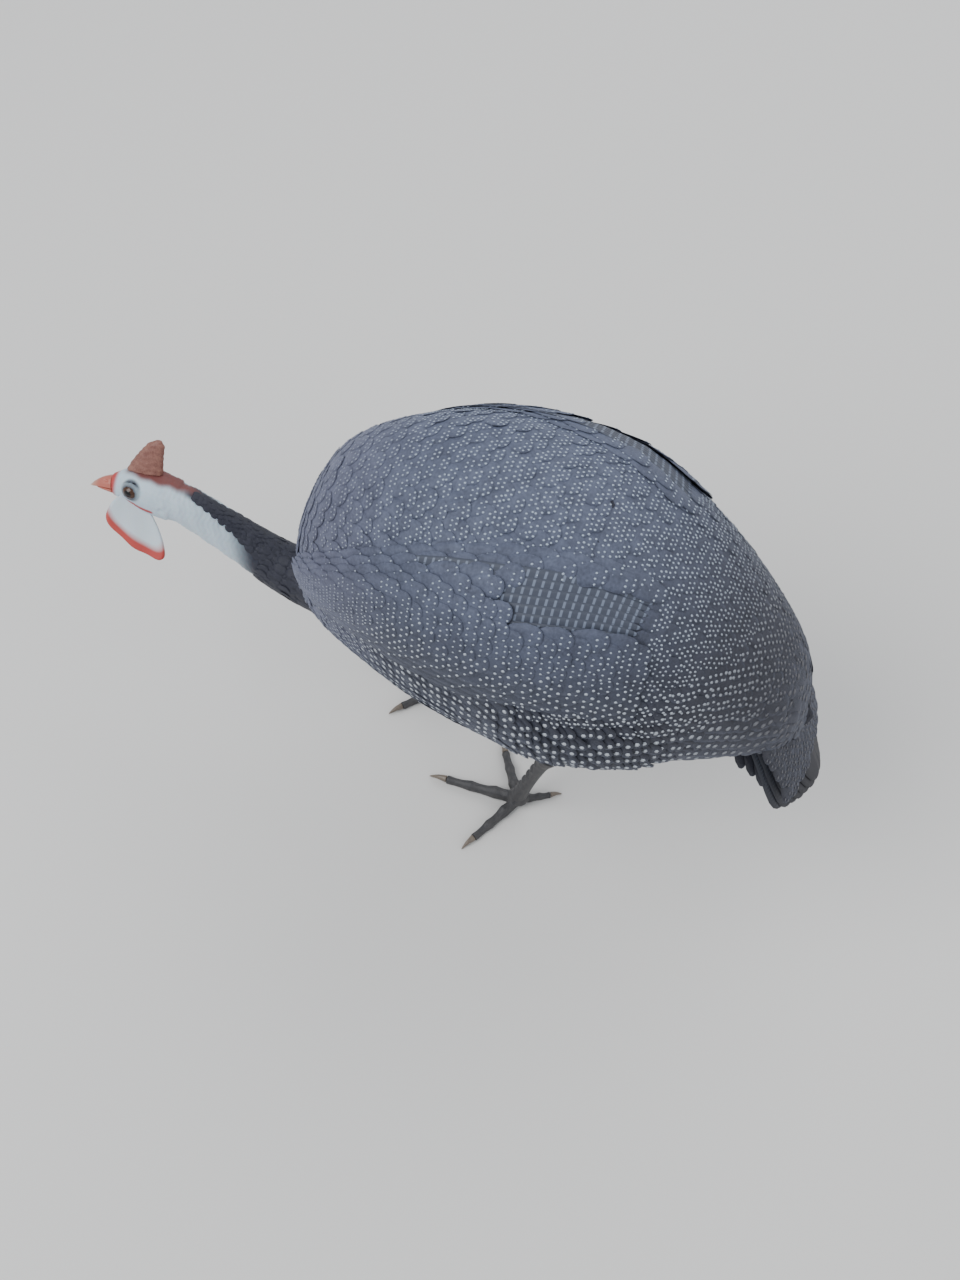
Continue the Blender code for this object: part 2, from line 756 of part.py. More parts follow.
def toe_body(side, toe, collection):
    """A toe with three pads below and a rounded top. Its sole is flat on the floor."""
    hub, ahead, left, length, radius = toe_frame(side, toe)
    rings = []
    spans = 9
    for i in range(spans + 1):
        part = i / spans
        pad = 1 + 0.13 * math.cos(part * 6 * math.pi)
        half = radius * (1 - (1 - TOE_TIP_SHARE) * part) * pad
        tall = 2 * half * (1.0 + 0.45 * (1 - part) ** 3)
        middle = hub + ahead * (length * part)
        ring = []
        for across, up in (
            (-0.62, 0.0), (-1.0, 0.34), (-0.72, 0.80), (0.0, 1.0),
            (0.72, 0.80), (1.0, 0.34), (0.62, 0.0), (0.0, 0.0),
        ):
            ring.append(middle + left * (across * half) + Vector((0, 0, up * tall)))
        rings.append(ring)
    return joined_rings(f"toe_{side}_{toe}", rings, None, collection)


def build_claw(parts, materials, side, toe):
    hub, ahead, left, length, radius = toe_frame(side, toe)
    reach = CLAW_LENGTH[toe]
    rings = []
    spans = 6
    for i in range(spans + 1):
        part = i / spans
        half = radius * TOE_TIP_SHARE * 0.80 * (1 - part) ** 0.8 + 0.0003
        tall = half * 2.3
        base = CLAW_ARCH * math.sin(math.pi * part) ** 2
        middle = hub + ahead * (length + GAP + reach * part)
        ring = []
        for k in range(8):
            angle = 2 * math.pi * k / 8
            ring.append(
                middle
                + left * (math.sin(angle) * half)
                + Vector((0, 0, base + tall / 2 + math.cos(angle) * tall / 2))
            )
        rings.append(ring)
    return joined_rings(f"claw_{side}_{toe}", rings, materials["claw"], parts)


def build_foot(parts, materials, helpers, side):
    hub = Vector((FOOT_SIDE[side], -FOOT_REACH[side], HUB_HEIGHT))
    ankle = hub + Vector((0, ANKLE_BACK[side], ANKLE_HEIGHT - hub.z))
    waist, flare, knuckle = SHANK_RADII
    points, radii = [], []
    spans = 12
    for i in range(spans + 1):
        part = i / spans
        points.append(hub.lerp(ankle, part))
        joint = knuckle * math.exp(-(((part - 0.97) / 0.09) ** 2))
        radii.append(waist + flare * (2 * part - 1) ** 2 + joint)
    foot = tube(f"foot_{side}", points, radii, 12, materials["shank"], parts)
    pieces = [toe_body(side, toe, helpers) for toe in TOES[side]]
    ball_middle = hub - Vector((0, 0, HUB_BALL_LOWER))
    pieces.append(ball("hub", ball_middle, HUB_BALL, helpers, segments=12, rings=8))
    for i in range(SCUTES):
        part = 0.10 + 0.82 * i / (SCUTES - 1)
        front = hub.lerp(ankle, part) - Vector((0, SCUTE_AHEAD, 0))
        pieces.append(ball(f"scute_{i}", front, SCUTE_SIZE, helpers, segments=6, rings=4))
    unite(foot, pieces)
    for toe in TOES[side]:
        build_claw(parts, materials, side, toe)
    return foot


def build_leg(parts, materials, helpers, side, foot):
    """The feathered shin and thigh, from around the ankle up into the belly's surface."""
    start = ANKLE_HEIGHT - LEG_BELOW_ANKLE
    low = Vector((FOOT_SIDE[side], -FOOT_REACH[side] + ANKLE_BACK[side], start))
    high = low + Vector((LEG_SPREAD * FOOT_SIDE[side], -THIGH_AHEAD[side], LEG_RISE))
    points = [low.lerp(high, share) for share, _ in LEG_OUTLINE]
    radii = [radius for _, radius in LEG_OUTLINE]
    leg = tube(f"leg_{side}", points, radii, 16, materials["plumage"], parts, flat=1.15)
    cutters = body_shell("cut_body", CUT_GAP, None, helpers), swelled(foot, CUT_GAP, "cut_foot")
    cut_away(leg, *cutters)


def stand_on_origin(parts):
    """Moves the whole model so that the middle of its box, on the floor, is the origin."""
    low = Vector((1e9,) * 3)
    high = Vector((-1e9,) * 3)
    for part in parts.objects:
        for vert in part.data.vertices:
            low = Vector(map(min, low, vert.co))
            high = Vector(map(max, high, vert.co))
    shift = Vector((-(low.x + high.x) / 2, -(low.y + high.y) / 2, -low.z))
    for part in parts.objects:
        part.data.transform(Matrix.Translation(shift))


def main():
    clear_scene()
    parts = new_collection("guinea_fowl")
    helpers = new_collection("cutters")
    helpers.hide_render = True
    materials = {
        "plumage": finish("plumage", (0.10, 0.11, 0.14), 0.75),
        "neck": finish("neck_skin", (0.16, 0.18, 0.23), 0.7),
        "face": finish("face_skin", (0.62, 0.72, 0.78), 0.6),
        "eye": finish("eye", (0.05, 0.03, 0.02), 0.1),
        "bill": finish("bill_horn", (0.55, 0.25, 0.20), 0.4),
        "horn": finish("casque_horn", (0.38, 0.20, 0.15), 0.55),
        "wattle": finish("wattle_skin", (0.65, 0.14, 0.13), 0.5),
        "shank": finish("shank_scale", (0.07, 0.07, 0.08), 0.5),
        "claw": finish("claw_horn", (0.25, 0.22, 0.19), 0.4),
    }
    build_torso(parts, materials)
    head = build_head(parts, materials, helpers)
    build_neck(parts, materials, helpers, head)
    build_eyes(parts, materials)
    upper, lower = build_bill(parts, materials, helpers, head)
    build_casque(parts, materials, head)
    build_wattles(parts, materials, head, (upper, lower))
    build_wings(parts, materials, helpers)
    build_tail(parts, materials, helpers)
    for side in SIDES:
        foot = build_foot(parts, materials, helpers, side)
        build_leg(parts, materials, helpers, side, foot)
    stand_on_origin(parts)


main()
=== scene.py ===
"""A helmeted guinea fowl in mid stride: plumage, bare head, horn and scaled legs over the frame.

Metres, +Z up. The bird faces -Y and its left side is +X.
"""
import json
import math
import random

import bmesh
import bpy
import numpy as np
from mathutils import Matrix, Vector
from mathutils.bvhtree import BVHTree

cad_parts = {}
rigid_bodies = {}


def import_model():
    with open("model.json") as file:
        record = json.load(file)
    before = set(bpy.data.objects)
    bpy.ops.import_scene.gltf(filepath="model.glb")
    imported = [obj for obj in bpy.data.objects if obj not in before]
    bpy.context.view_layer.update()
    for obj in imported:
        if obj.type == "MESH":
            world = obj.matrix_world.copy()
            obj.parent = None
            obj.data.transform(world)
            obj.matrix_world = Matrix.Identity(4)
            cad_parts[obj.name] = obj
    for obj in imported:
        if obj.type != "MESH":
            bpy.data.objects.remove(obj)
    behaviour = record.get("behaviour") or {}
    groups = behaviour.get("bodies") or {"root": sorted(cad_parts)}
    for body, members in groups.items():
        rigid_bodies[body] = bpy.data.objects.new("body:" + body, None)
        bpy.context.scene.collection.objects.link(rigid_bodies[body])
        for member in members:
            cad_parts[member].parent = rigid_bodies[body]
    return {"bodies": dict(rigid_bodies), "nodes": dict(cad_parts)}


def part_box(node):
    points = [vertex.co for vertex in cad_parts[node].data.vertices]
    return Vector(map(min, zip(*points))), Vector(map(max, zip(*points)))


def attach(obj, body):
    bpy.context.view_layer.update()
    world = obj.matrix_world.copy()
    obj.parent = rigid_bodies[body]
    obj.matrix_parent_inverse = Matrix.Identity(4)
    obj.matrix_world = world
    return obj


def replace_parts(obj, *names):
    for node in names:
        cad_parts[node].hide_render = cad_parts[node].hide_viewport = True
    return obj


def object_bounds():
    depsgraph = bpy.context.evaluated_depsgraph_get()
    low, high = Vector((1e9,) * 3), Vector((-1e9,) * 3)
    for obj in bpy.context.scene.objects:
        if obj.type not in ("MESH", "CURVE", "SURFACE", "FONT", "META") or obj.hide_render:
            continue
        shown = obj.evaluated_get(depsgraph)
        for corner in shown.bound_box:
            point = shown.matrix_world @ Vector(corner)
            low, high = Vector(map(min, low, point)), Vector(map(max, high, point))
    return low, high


# How far the breast is ahead of the body's widest section, and the photo's camera from there
BREAST_REACH = 0.147
CAMERA_FROM_WIDEST = Vector((0.703, 0.208, 1.387))
CAMERA_AZIMUTH = math.radians(109)
CAMERA_ELEVATION = math.radians(59)
PHOTO_HEIGHT = 1280
PHOTO_FOCAL = 2300
SENSOR = 36

# Plumage: metres, and shares of a feather's own length and width. Loose feathers are those over the
# thigh and the hind flank
COAT_DEPTH = 0.0022
SKIN_VOXEL = 0.0030
ROW_PITCH = 0.0057
FEATHER_SPACING = 0.0094
FEATHER_LENGTH = 0.0162
FEATHER_HALF = 0.0066
FEATHER_LIFT = 0.034
LIFT_SPREAD = (0.88, 1.15)
FEATHER_TURN = 0.09
FEATHER_CROWN = 5.0
LENGTH_SPREAD = (0.94, 1.06)
LOOSE_LIFT = (0.20, 0.34)
LOOSE_LENGTH = 0.30
LOOSE_FRONT = (-0.035, 0.015)
LOOSE_REAR = (0.060, 0.105)
LOOSE_HEIGHTS = (-0.030, 0.040)
LOOSE_HANG = Vector((0, 0, 0.45))
STEEPEST_FALL = 30
FEATHER_BEND = 0.0002
FEATHER_THICKNESS = 0.00012
FEATHER_OUTLINE = ((0, 0.30), (0.30, 0.85), (0.60, 1.0), (0.84, 0.84), (0.95, 0.56), (1, 0.22))
BAKE_PATCH = 0.003

# Pearls, as low beads
PEARL_POINTS = 6
PEARL_RISE = 0.00010
PEARL_DOME = 0.00020
PEARL_STEP = 0.0008
PEARL_TIP_CURVE = 9
PEARL_ASIDE = 0.00015
PEARL_BEHIND = (0.92, 1.08)
PEARL_SPREAD = (0.88, 1.10)
# Share of the flank's height, from its top down, where middle and large pearls begin
PEARL_MIDDLE_LOW = 0.30
PEARL_LARGE_LOW = 0.66
# Half width, how much wider across than along, and rows as (distance from the tip, places across
# the vane). Rows of neighbouring feathers fall between one another
PEARLS_FINE = (
    0.00086,
    0.85,
    ((0.0014, (-0.0031, 0, 0.0031)), (0.00425, (-0.00155, 0.00155, 0.00465))),
)
PEARLS_MIDDLE = (0.00112, 1.0, ((0.0015, (-0.00235, 0.00235)), (0.0043, (0, 0.0047))))
PEARLS_LARGE = (0.00145, 1.45, ((0.0027, (0,)),))

# The body's length as a wave over the share of it from breast to rump, and its axis's heights in
# front, at the top and behind
BODY_WAVE = (0.161, -0.014)
AXIS_HEIGHTS = (0.214, 0.229, 0.179)
AXIS_TOP_SHARE = 0.4
SECTION_NARROWNESS = 0.74
AXIS_BELOW_MIDDLE = 0.005
BREAST_POLE_HEIGHT = 0.068
RUMP_POLE_HEIGHT = 0.066

# Rays that find the body's rows of feathers: degrees of lean at both ends, where they start inside
# the body, and how much shorter than it the line of their starts is
RAY_LEAN = 88
RAY_START = 0.085
RAY_SHORTER = 0.155
ROW_TEST_ANGLES = (0.0, 1.2, 2.4, 3.9, 5.1)
RING_TESTS = 72
# Shares of the sweep where the front and middle pieces end, and where feathers turn to the tail
FRONT_SHARE = 0.36
MIDDLE_SHARE = 0.66
TAILWARD_SHARE = 0.62

# Wings, over the flank: metres back from the bend, and down from a middle line that climbs
# backwards
WING_POSITION = 0.125
WING_REACH_SHARE = 0.335
WING_ANGLE = math.radians(78)
WING_CLIMB = -3.0
FLANK_RADIUS = 0.086
COVERT_LENGTH = 0.173
COVERT_TOP = -0.038
COVERT_LOW = 0.044
COVERT_START = 0.002
COVERT_FOOT = 0.0010
COVERT_BULGE = (0.14, 0.36)
COVERT_EDGE = 2.6
COVERT_CROWN = 3.0
COVERT_LIFT = 0.036
COVERT_LIFT_SPREAD = (0.9, 1.15)
COVERT_LENGTH_SPREAD = (0.96, 1.05)
COVERT_TURN = 0.07
WING_BORDER = 0.008
WING_THICKNESS = 0.0086
WING_FRONT = 0.006
WING_END = 0.172
# Where the secondaries are not covered: metres back, and down from and to. Its front edge waves, by
# a swing and so many radians a metre
WING_WINDOW = (0.114, -0.031, -0.003)
WINDOW_WAVE = (0.010, 420)
# Count, upper and lower root, their lengths, half width, rise, and turns
QUILLS_OF_WING = {
    "primary": (
        5, (0.100, 0.012), (0.106, 0.030), (0.072, 0.066), 0.0064, 0.0012, (-0.05, -0.12),
    ),
    "secondary": (
        8, (0.074, -0.032), (0.076, 0.002), (0.106, 0.100), 0.0043, 0.0028, (0.05, -0.02),
    ),
}
QUILL_TILT = 0.08
QUILL_BEND = 0.0003
QUILL_THICKNESS = 0.0004
# Where a quill rises from the wing and sinks back to it, in metres from its root
QUILL_RISES = (-0.005, 0.024)
QUILL_SINKS = (0.05, 0.11)

# Tail
TAIL_ROOT_REACH = -0.134
TAIL_ROOT_HEIGHT = 0.205
TAIL_DROOP = math.radians(58)
TAIL_BEND = 0.4
TAIL_ROOF = 4.0
TAIL_QUILLS = 14
TAIL_QUILL_LENGTH = 0.098
TAIL_QUILL_HALF = 0.0100
TAIL_QUILL_START = 0.012
TAIL_QUILL_SPREAD = 0.013
TAIL_FAN = math.radians(13)
# How high the middle quill lies, and how much lower each next one does
TAIL_STACK = (0.0030, 0.00062)
# Tail coverts over and under it: side, rows, where they start, and how high they stand there
TAIL_COVERTS = ((1, 12, 0.006, 0.0135), (-1, 8, 0.012, 0.0075))
# Half the width of the first row, and how much the last is narrower
TAIL_COVERT_HALF = (0.027, 0.003)
TAIL_COVERT_FOOT = 0.0028
TAIL_COVERT_THINNING = 0.7
TAIL_COVERT_SINKING = 0.045
TAIL_COVERT_LEAN = 0.35
TAIL_COVERT_TURN = 0.06
TAIL_COVERT_LONGER = 1.45
TAIL_COVERT_BROADER = 1.15

# Feathers of neck, nape and legs: pitch of the rows, spacing around, and first and last size. The
# nape's reach a first and last angle down each side
NECK_ROWS = (0.0042, 0.0082, (0.52, 1.15))
NAPE_ROWS = (0.0030, 0.0085, (0.26, 0.48))
NAPE_ARCS = (0.22, 0.9)
NAPE_START = Vector((0, 0.030, -0.005))
LEG_ROWS = (0.0048, 0.0085, (1.0, 0.55))

# Head: turns of its own frame, and the neck's middle line as reach ahead of the widest section, x
# and z. Places on the head are for its left side, in its own frame
HEAD_YAW = math.radians(4.5)
HEAD_PITCH = math.radians(-4)
HEAD_ROLL = math.radians(-23)
NECK_PATH = (
    (0.200, -0.0070, 0.1780),
    (0.180, -0.0050, 0.1670),
    (0.165, -0.0035, 0.1620),
    (0.134, -0.0015, 0.1620),
    (0.106, -0.0005, 0.1730),
    (0.090, 0.0000, 0.1820),
)
GAPE_ENDS = (Vector((0.0060, -0.0085, -0.0062)), Vector((0.0118, 0.0120, -0.0105)))
WATTLE_ROOT = Vector((0.0100, 0.0015, -0.0088))
WATTLE_HANG = Vector((0.0162, 0.0069, -0.0222))
WATTLE_HALF_WIDTH = 0.0198
WATTLE_TILT = math.radians(25)
WATTLE_SUNK = 0.0030
WATTLE_ROWS = 26
WATTLE_COLUMNS = 23
WATTLE_CUP = 0.0026
WATTLE_WAVE = 0.0009
# Half the thickness, and how much more it is at the rim
WATTLE_SHEET = (0.0008, 0.0006)
EYES_IN_HEAD = Vector((0, -0.0010, 0.0012))
EYE_IN_HEAD = Vector((0.0085, -0.0010, 0.0012))
EAR_IN_HEAD = Vector((0.0108, 0.0190, -0.0030))
EYE_LOOK_FORWARD = math.radians(14)
EYE_BULGE = 0.0014
EYE_SHAPE = (1, 1.03, 0.90, 1)
BROW_FROM_EYE = Vector((-0.0022, 0.0002, 0.0050))
BROW_HALVES = (0.0027, 0.0054, 0.0017)
PUPIL_EDGE = (0.885, 0.905)

# Where the face's colours begin and end, in the head's own frame
CROWN_HEIGHTS = (0.0068, 0.0105)
CROWN_FRONT = (-0.012, -0.006)
CROWN_BACK = (0.034, 0.044)
GAPE_EDGE = (0.0009, 0.0026)
CERE_EDGE = (-0.0115, -0.0150)
NAPE_BACK = (0.024, 0.036)
NAPE_HEIGHTS = (0.0065, 0.0100)
LOW_NECK = (0.056, 0.077)
# Edge of the painted shade in the ear pit
EAR_SHADE_EDGE = (0.0010, 0.0024)
# Edge of the dark ring around the eye: partly the lids' own dark rim, partly painted shade in the
# groove
LID_SHADE_EDGE = (0.0062, 0.0078)
FACE_LENGTH = 0.096

# Relief of the bare skin and the casque, in metres
WRINKLE_DEPTH = 0.00010
PLEAT_DEPTH = 0.00022
LID_RING_DEPTH = 0.00012
EAR_DEPTH = 0.0016
EAR_RIM = 0.0003
CASQUE_RIDGE = 0.00013

# Legs: the bands above the leg's lowest point whose middles its line runs through
LEG_VOXEL = 0.0012
LEG_COAT = 0.0006
ANKLE_BAND = (-0.001, 0.006)
THIGH_BAND = (0.034, 0.060)
HIP_BEYOND = 0.25

# Skins: how finely each is remeshed, and how deep the neck's lies
NECK_VOXEL = 0.0015
NECK_COAT = -0.0005
NECK_SKIN_SHARE = 0.45
HEAD_VOXEL = 0.0007
FOOT_VOXEL = 0.0006
HORN_VOXEL = 0.0004

# Materials' patterns
FINER_SCALE = 6.3
BAR_WAVES = 205

# Colours, linear
BLACK = (0, 0, 0)
WHITE = (1, 1, 1)
SLATE = (0.084, 0.099, 0.141)
SLATE_FRONT = (0.112, 0.119, 0.165)
SLATE_TAIL = (0.024, 0.0235, 0.030)
SLATE_QUILL = (0.052, 0.061, 0.088)
GROUND_DARK = (0.014, 0.016, 0.026)
PATCH_DARK = (0.55, 0.55, 0.60)
PATCH_LIGHT = (1.35, 1.35, 1.40)
BARB_DARK = (0.80, 0.80, 0.82)
BARB_LIGHT = (1.15, 1.15, 1.18)
SHEEN_BLUE = (0.55, 0.65, 0.95)
PEARL_WHITE = (0.50, 0.54, 0.60)
# Pearls on the back: their own grey with a painted blue sheen
PEARL_BACK_WITH_SHEEN = (0.40, 0.47, 0.58)
PEARL_FRONT = (0.25, 0.27, 0.35)
PEARL_TAIL = (0.100, 0.100, 0.115)
BAR_GREY = (0.155, 0.185, 0.255)
FACE_BLUE = (0.60, 0.70, 0.76)
FACE_SHADE = (0.42, 0.55, 0.65)
NECK_DARK = (0.011, 0.013, 0.023)
NECK_LIGHT = (0.031, 0.032, 0.050)
NECK_SLATE = (0.022, 0.024, 0.040)
CROWN_MAROON = (0.16, 0.045, 0.040)
HORN_BROWN = (0.17, 0.062, 0.050)
HORN_PALE = (0.32, 0.15, 0.11)
BILL_RED = (0.42, 0.11, 0.08)
BILL_LIGHT = (0.52, 0.17, 0.12)
BILL_PALE = (0.55, 0.44, 0.34)
WATTLE_RED = (0.46, 0.055, 0.050)
EYE_BROWN = (0.055, 0.022, 0.010)
PUPIL_BLACK = (0.002, 0.002, 0.003)
SHANK_DARK = (0.030, 0.031, 0.036)
SHANK_PALE = (0.075, 0.072, 0.072)
CLAW_DARK = (0.12, 0.10, 0.085)
CLAW_HORN = (0.21, 0.17, 0.13)
FLOOR_PALE = (0.74, 0.73, 0.71)
SKY_COLOUR = (0.80, 0.84, 0.90)

# Studio: lamps as (place, size, power)
FLOOR_SIZE = 6
LAMPS = {
    "key": ((0.9, -1.0, 1.9), 1.6, 34),
    "fill": ((-1.4, 0.5, 1.5), 2.0, 16),
    "back": ((0.3, 1.8, 1.4), 1.6, 11),
}
LAMP_AIM = Vector((0, 0, 0.2))
SKY_STRENGTH = 0.75

SIDES = {"left": 1, "right": -1}


# Helpers
def smooth_step(low, high, value):
    part = min(1, max(0, (value - low) / (high - low)))
    return part * part * (3 - 2 * part)


def distance_to(point, ends):
    start, end = ends
    part = min(1, max(0, (point - start).dot(end - start) / (end - start).length_squared))
    return (point - start.lerp(end, part)).length


def middle_of(node):
    low, high = (Vector(corner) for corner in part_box(node))
    return (low + high) / 2


def deselect_all():
    for thing in bpy.context.selected_objects:
        thing.select_set(False)


def link(mesh, name):
    made = bpy.data.objects.new(name, mesh)
    bpy.context.scene.collection.objects.link(made)
    return made


def apply_modifier(target, modifier):
    bpy.context.view_layer.objects.active = target
    with bpy.context.temp_override(object=target, active_object=target):
        bpy.ops.object.modifier_apply(modifier=modifier.name)


def joined_copy(name, nodes, fillers=()):
    """One mesh of copies of the frame's nodes, each merged where its loose triangles meet, and of
    a ball for each filler, given as the matrix that shapes and places it."""
    gathered = bmesh.new()
    for node in nodes:
        gathered.from_mesh(frame["nodes"][node].data)
    bmesh.ops.remove_doubles(gathered, verts=gathered.verts, dist=0.00001)
    for shaping in fillers:
        bmesh.ops.create_icosphere(gathered, subdivisions=3, radius=1, matrix=shaping)
    mesh = bpy.data.meshes.new(name)
    gathered.to_mesh(mesh)
    gathered.free()
    mesh.materials.clear()
    return link(mesh, name)


def remeshed(name, nodes, voxel, smooth_steps, factor=0.5, fillers=()):
    """The nodes made one even skin. Their 0.3 mm gaps close, because a voxel is wider."""
    skin = joined_copy(name, nodes, fillers)
    remesh = skin.modifiers.new("remesh", "REMESH")
    remesh.mode = "VOXEL"
    remesh.voxel_size = voxel
    apply_modifier(skin, remesh)
    smooth = skin.modifiers.new("smooth", "SMOOTH")
    smooth.factor = factor
    smooth.iterations = smooth_steps
    apply_modifier(skin, smooth)
    skin.data.shade_smooth()
    return skin


def sink(target, depth_at):
    """Moves each point in along its normal, by a depth that depends on its place."""
    normals = [vert.normal.copy() for vert in target.data.vertices]
    for vert, normal in zip(target.data.vertices, normals):
        vert.co -= normal * depth_at(vert.co)


def surface_of(target):
    target.data.update()
    points = [vert.co.copy() for vert in target.data.vertices]
    faces = [tuple(poly.vertices) for poly in target.data.polygons]
    return BVHTree.FromPolygons(points, faces)


def mirrored(point):
    """The place on the left side that stands for a place on either side of the head."""
    return Vector((abs(point.x), point.y, point.z))


# Materials
def connect(tree, node, inputs):
    """Gives inputs, by name or number, a number, a colour or the output of another node."""
    for place, value in inputs.items():
        if isinstance(value, bpy.types.NodeSocket):
            tree.links.new(value, node.inputs[place])
        else:
            node.inputs[place].default_value = (*value, 1) if isinstance(value, tuple) else value


def add(tree, kind, inputs, **settings):
    node = tree.nodes.new(kind)
    for name, value in settings.items():
        setattr(node, name, value)
    connect(tree, node, inputs)
    return node


def new_material(name):
    made = bpy.data.materials.new(name)
    made.use_nodes = True
    return made, made.node_tree


def shade(tree, inputs):
    """Sets the inputs of the material's shader."""
    connect(tree, tree.nodes["Principled BSDF"], inputs)


def computed(tree, operation, *values):
    inputs = dict(enumerate(values))
    return add(tree, "ShaderNodeMath", inputs, operation=operation).outputs[0]


def ramp(tree, share, stops):
    """A colour from (place, colour) stops."""
    node = add(tree, "ShaderNodeValToRGB", {"Fac": share})
    elements = node.color_ramp.elements
    while len(elements) < len(stops):
        elements.new(0.5)
    for element, (place, colour) in zip(elements, stops):
        element.position = place
        element.color = (*colour, 1)
    return node.outputs["Color"]


def speckle_group():
    """Fine mottling: a value that wanders around the middle at two scales."""
    group = bpy.data.node_groups.new("mottling", "ShaderNodeTree")
    group.interface.new_socket("Scale", in_out="INPUT", socket_type="NodeSocketFloat")
    group.interface.new_socket("Mask", in_out="OUTPUT", socket_type="NodeSocketFloat")
    broad = add(group, "NodeGroupInput", {}).outputs["Scale"]
    fine = computed(group, "MULTIPLY", broad, FINER_SCALE)
    place = add(group, "ShaderNodeTexCoord", {}).outputs["Object"]
    noises = []
    for scale, detail in ((broad, 3), (fine, 2)):
        inputs = {"Vector": place, "Scale": scale, "Detail": detail}
        noises.append(add(group, "ShaderNodeTexNoise", inputs).outputs["Fac"])
    mean = add(group, "ShaderNodeMix", {"Factor": 0.5, 2: noises[0], 3: noises[1]})
    add(group, "NodeGroupOutput", {"Mask": mean.outputs[0]})
    return group


def mottled(tree, scale):
    return add(tree, "ShaderNodeGroup", {"Scale": scale}, node_tree=mottling).outputs["Mask"]


def mixed(tree, share, first, second, blend="MIX"):
    """A colour between two, each a colour or a socket."""
    inputs = {0: share, 6: first, 7: second}
    return add(tree, "ShaderNodeMix", inputs, data_type="RGBA", blend_type=blend).outputs[2]


def along_axis(tree, axis, start, end):
    """0 to 1 between two places on one axis of the object."""
    place = add(tree, "ShaderNodeTexCoord", {}).outputs["Object"]
    part = add(tree, "ShaderNodeSeparateXYZ", {0: place}).outputs[axis]
    inputs = {"Value": part, "From Min": start, "From Max": end}
    span = add(tree, "ShaderNodeMapRange", inputs, interpolation_type="SMOOTHSTEP")
    return span.outputs["Result"]


def graded(tree, heights, front, rear, colours):
    """Four colours over the body: low, high, towards the breast and towards the tail. The spans
    are heights, and metres ahead of and behind the widest section."""
    low, high, breast, tail = colours
    colour = mixed(tree, along_axis(tree, 2, *heights), low, high)
    frontward = along_axis(tree, 1, WIDEST_Y - front[0], WIDEST_Y - front[1])
    tailward = along_axis(tree, 1, WIDEST_Y + rear[0], WIDEST_Y + rear[1])
    return mixed(tree, tailward, mixed(tree, frontward, colour, breast), tail)


def grain(tree, mask, low, high, bump, distance=0.0004):
    """The shader's roughness, between low and high, and its relief, both from one mask."""
    span = add(tree, "ShaderNodeMapRange", {"Value": mask, "To Min": low, "To Max": high})
    relief = add(tree, "ShaderNodeBump", {"Height": mask, "Strength": bump, "Distance": distance})
    return {"Roughness": span.outputs["Result"], "Normal": relief.outputs["Normal"]}


def vane_uv(tree):
    """The UV that runs across and along each vane."""
    return add(tree, "ShaderNodeUVMap", {}, uv_map="Vane").outputs["UV"]


def painted_shares(tree):
    """The red, green and blue of the colour attribute painted on the head and the eyes."""
    shares = add(tree, "ShaderNodeVertexColor", {}, layer_name="Shares").outputs["Color"]
    return add(tree, "ShaderNodeSeparateColor", {0: shares}).outputs


def plumage_material():
    """Slate blue-grey feathers: lighter and lavender in front, browner at the tail, mottled, with
    fine barbs across each vane."""
    made, tree = new_material("plumage")
    colours = (GROUND_DARK, SLATE, SLATE_FRONT, SLATE_TAIL)
    body = graded(tree, (0.225, 0.320), (0.05, 0.14), (0.02, 0.17), colours)
    patches = ramp(tree, mottled(tree, 90), ((0.30, PATCH_DARK), (0.70, PATCH_LIGHT)))
    body = mixed(tree, 1, body, patches, "MULTIPLY")
    wave = {"Vector": vane_uv(tree), "Scale": 22, "Distortion": 2}
    barbs = add(tree, "ShaderNodeTexWave", wave).outputs["Fac"]
    body = mixed(tree, 1, body, mixed(tree, barbs, BARB_DARK, BARB_LIGHT), "MULTIPLY")
    shade(tree, {"Base Color": body, "Sheen Weight": 0.16, "Sheen Tint": SHEEN_BLUE})
    shade(tree, grain(tree, barbs, 0.55, 0.75, 0.25, 0.0002))
    return made


def flight_material():
    """Wing and tail quills: pale bars across a dark vane, with a thin dark edge and shaft."""
    made, tree = new_material("flight_feather")
    vane = add(tree, "ShaderNodeSeparateXYZ", {0: vane_uv(tree)}).outputs
    wave = computed(tree, "SINE", computed(tree, "MULTIPLY", vane["Y"], BAR_WAVES))
    bars = ramp(tree, wave, ((0.40, BLACK), (0.80, WHITE)))
    half = ((0.07, BLACK), (0.14, WHITE), (0.46, WHITE))
    other_half = ((0.54, WHITE), (0.86, WHITE), (0.93, BLACK))
    inside = ramp(tree, vane["X"], (*half, (0.50, BLACK), *other_half))
    barred = mixed(tree, computed(tree, "MULTIPLY", bars, inside), SLATE_QUILL, BAR_GREY)
    tailward = along_axis(tree, 1, WIDEST_Y + 0.11, WIDEST_Y + 0.19)
    shade(tree, {"Base Color": mixed(tree, tailward, barred, SLATE_TAIL)})
    shade(tree, grain(tree, mottled(tree, 160), 0.50, 0.70, 0.2, 0.0002))
    return made


def pearl_material():
    """Pearls: white on the lower flank, on the back grey with a painted blue sheen, dim in front
    and at the tail.
    """
    made, tree = new_material("pearl_spots")
    # On the back the pearls' colour carries a painted blue sheen
    colours = (PEARL_WHITE, PEARL_BACK_WITH_SHEEN, PEARL_FRONT, PEARL_TAIL)
    colour = graded(tree, (0.23, 0.33), (0.05, 0.13), (0.08, 0.17), colours)
    shade(tree, {"Base Color": colour, "Roughness": 0.6})
    return made


def plain_material(name, colour, roughness):
    made, tree = new_material(name)
    shade(tree, {"Base Color": colour, "Roughness": roughness})
    return made


def skin_under_material():
    """Dark skin that shows between feathers."""
    made, tree = new_material("under_skin")
    mask = mottled(tree, 120)
    shade(tree, {"Base Color": mixed(tree, mask, GROUND_DARK, NECK_SLATE)})
    shade(tree, grain(tree, mask, 0.7, 0.9, 0.3))
    return made


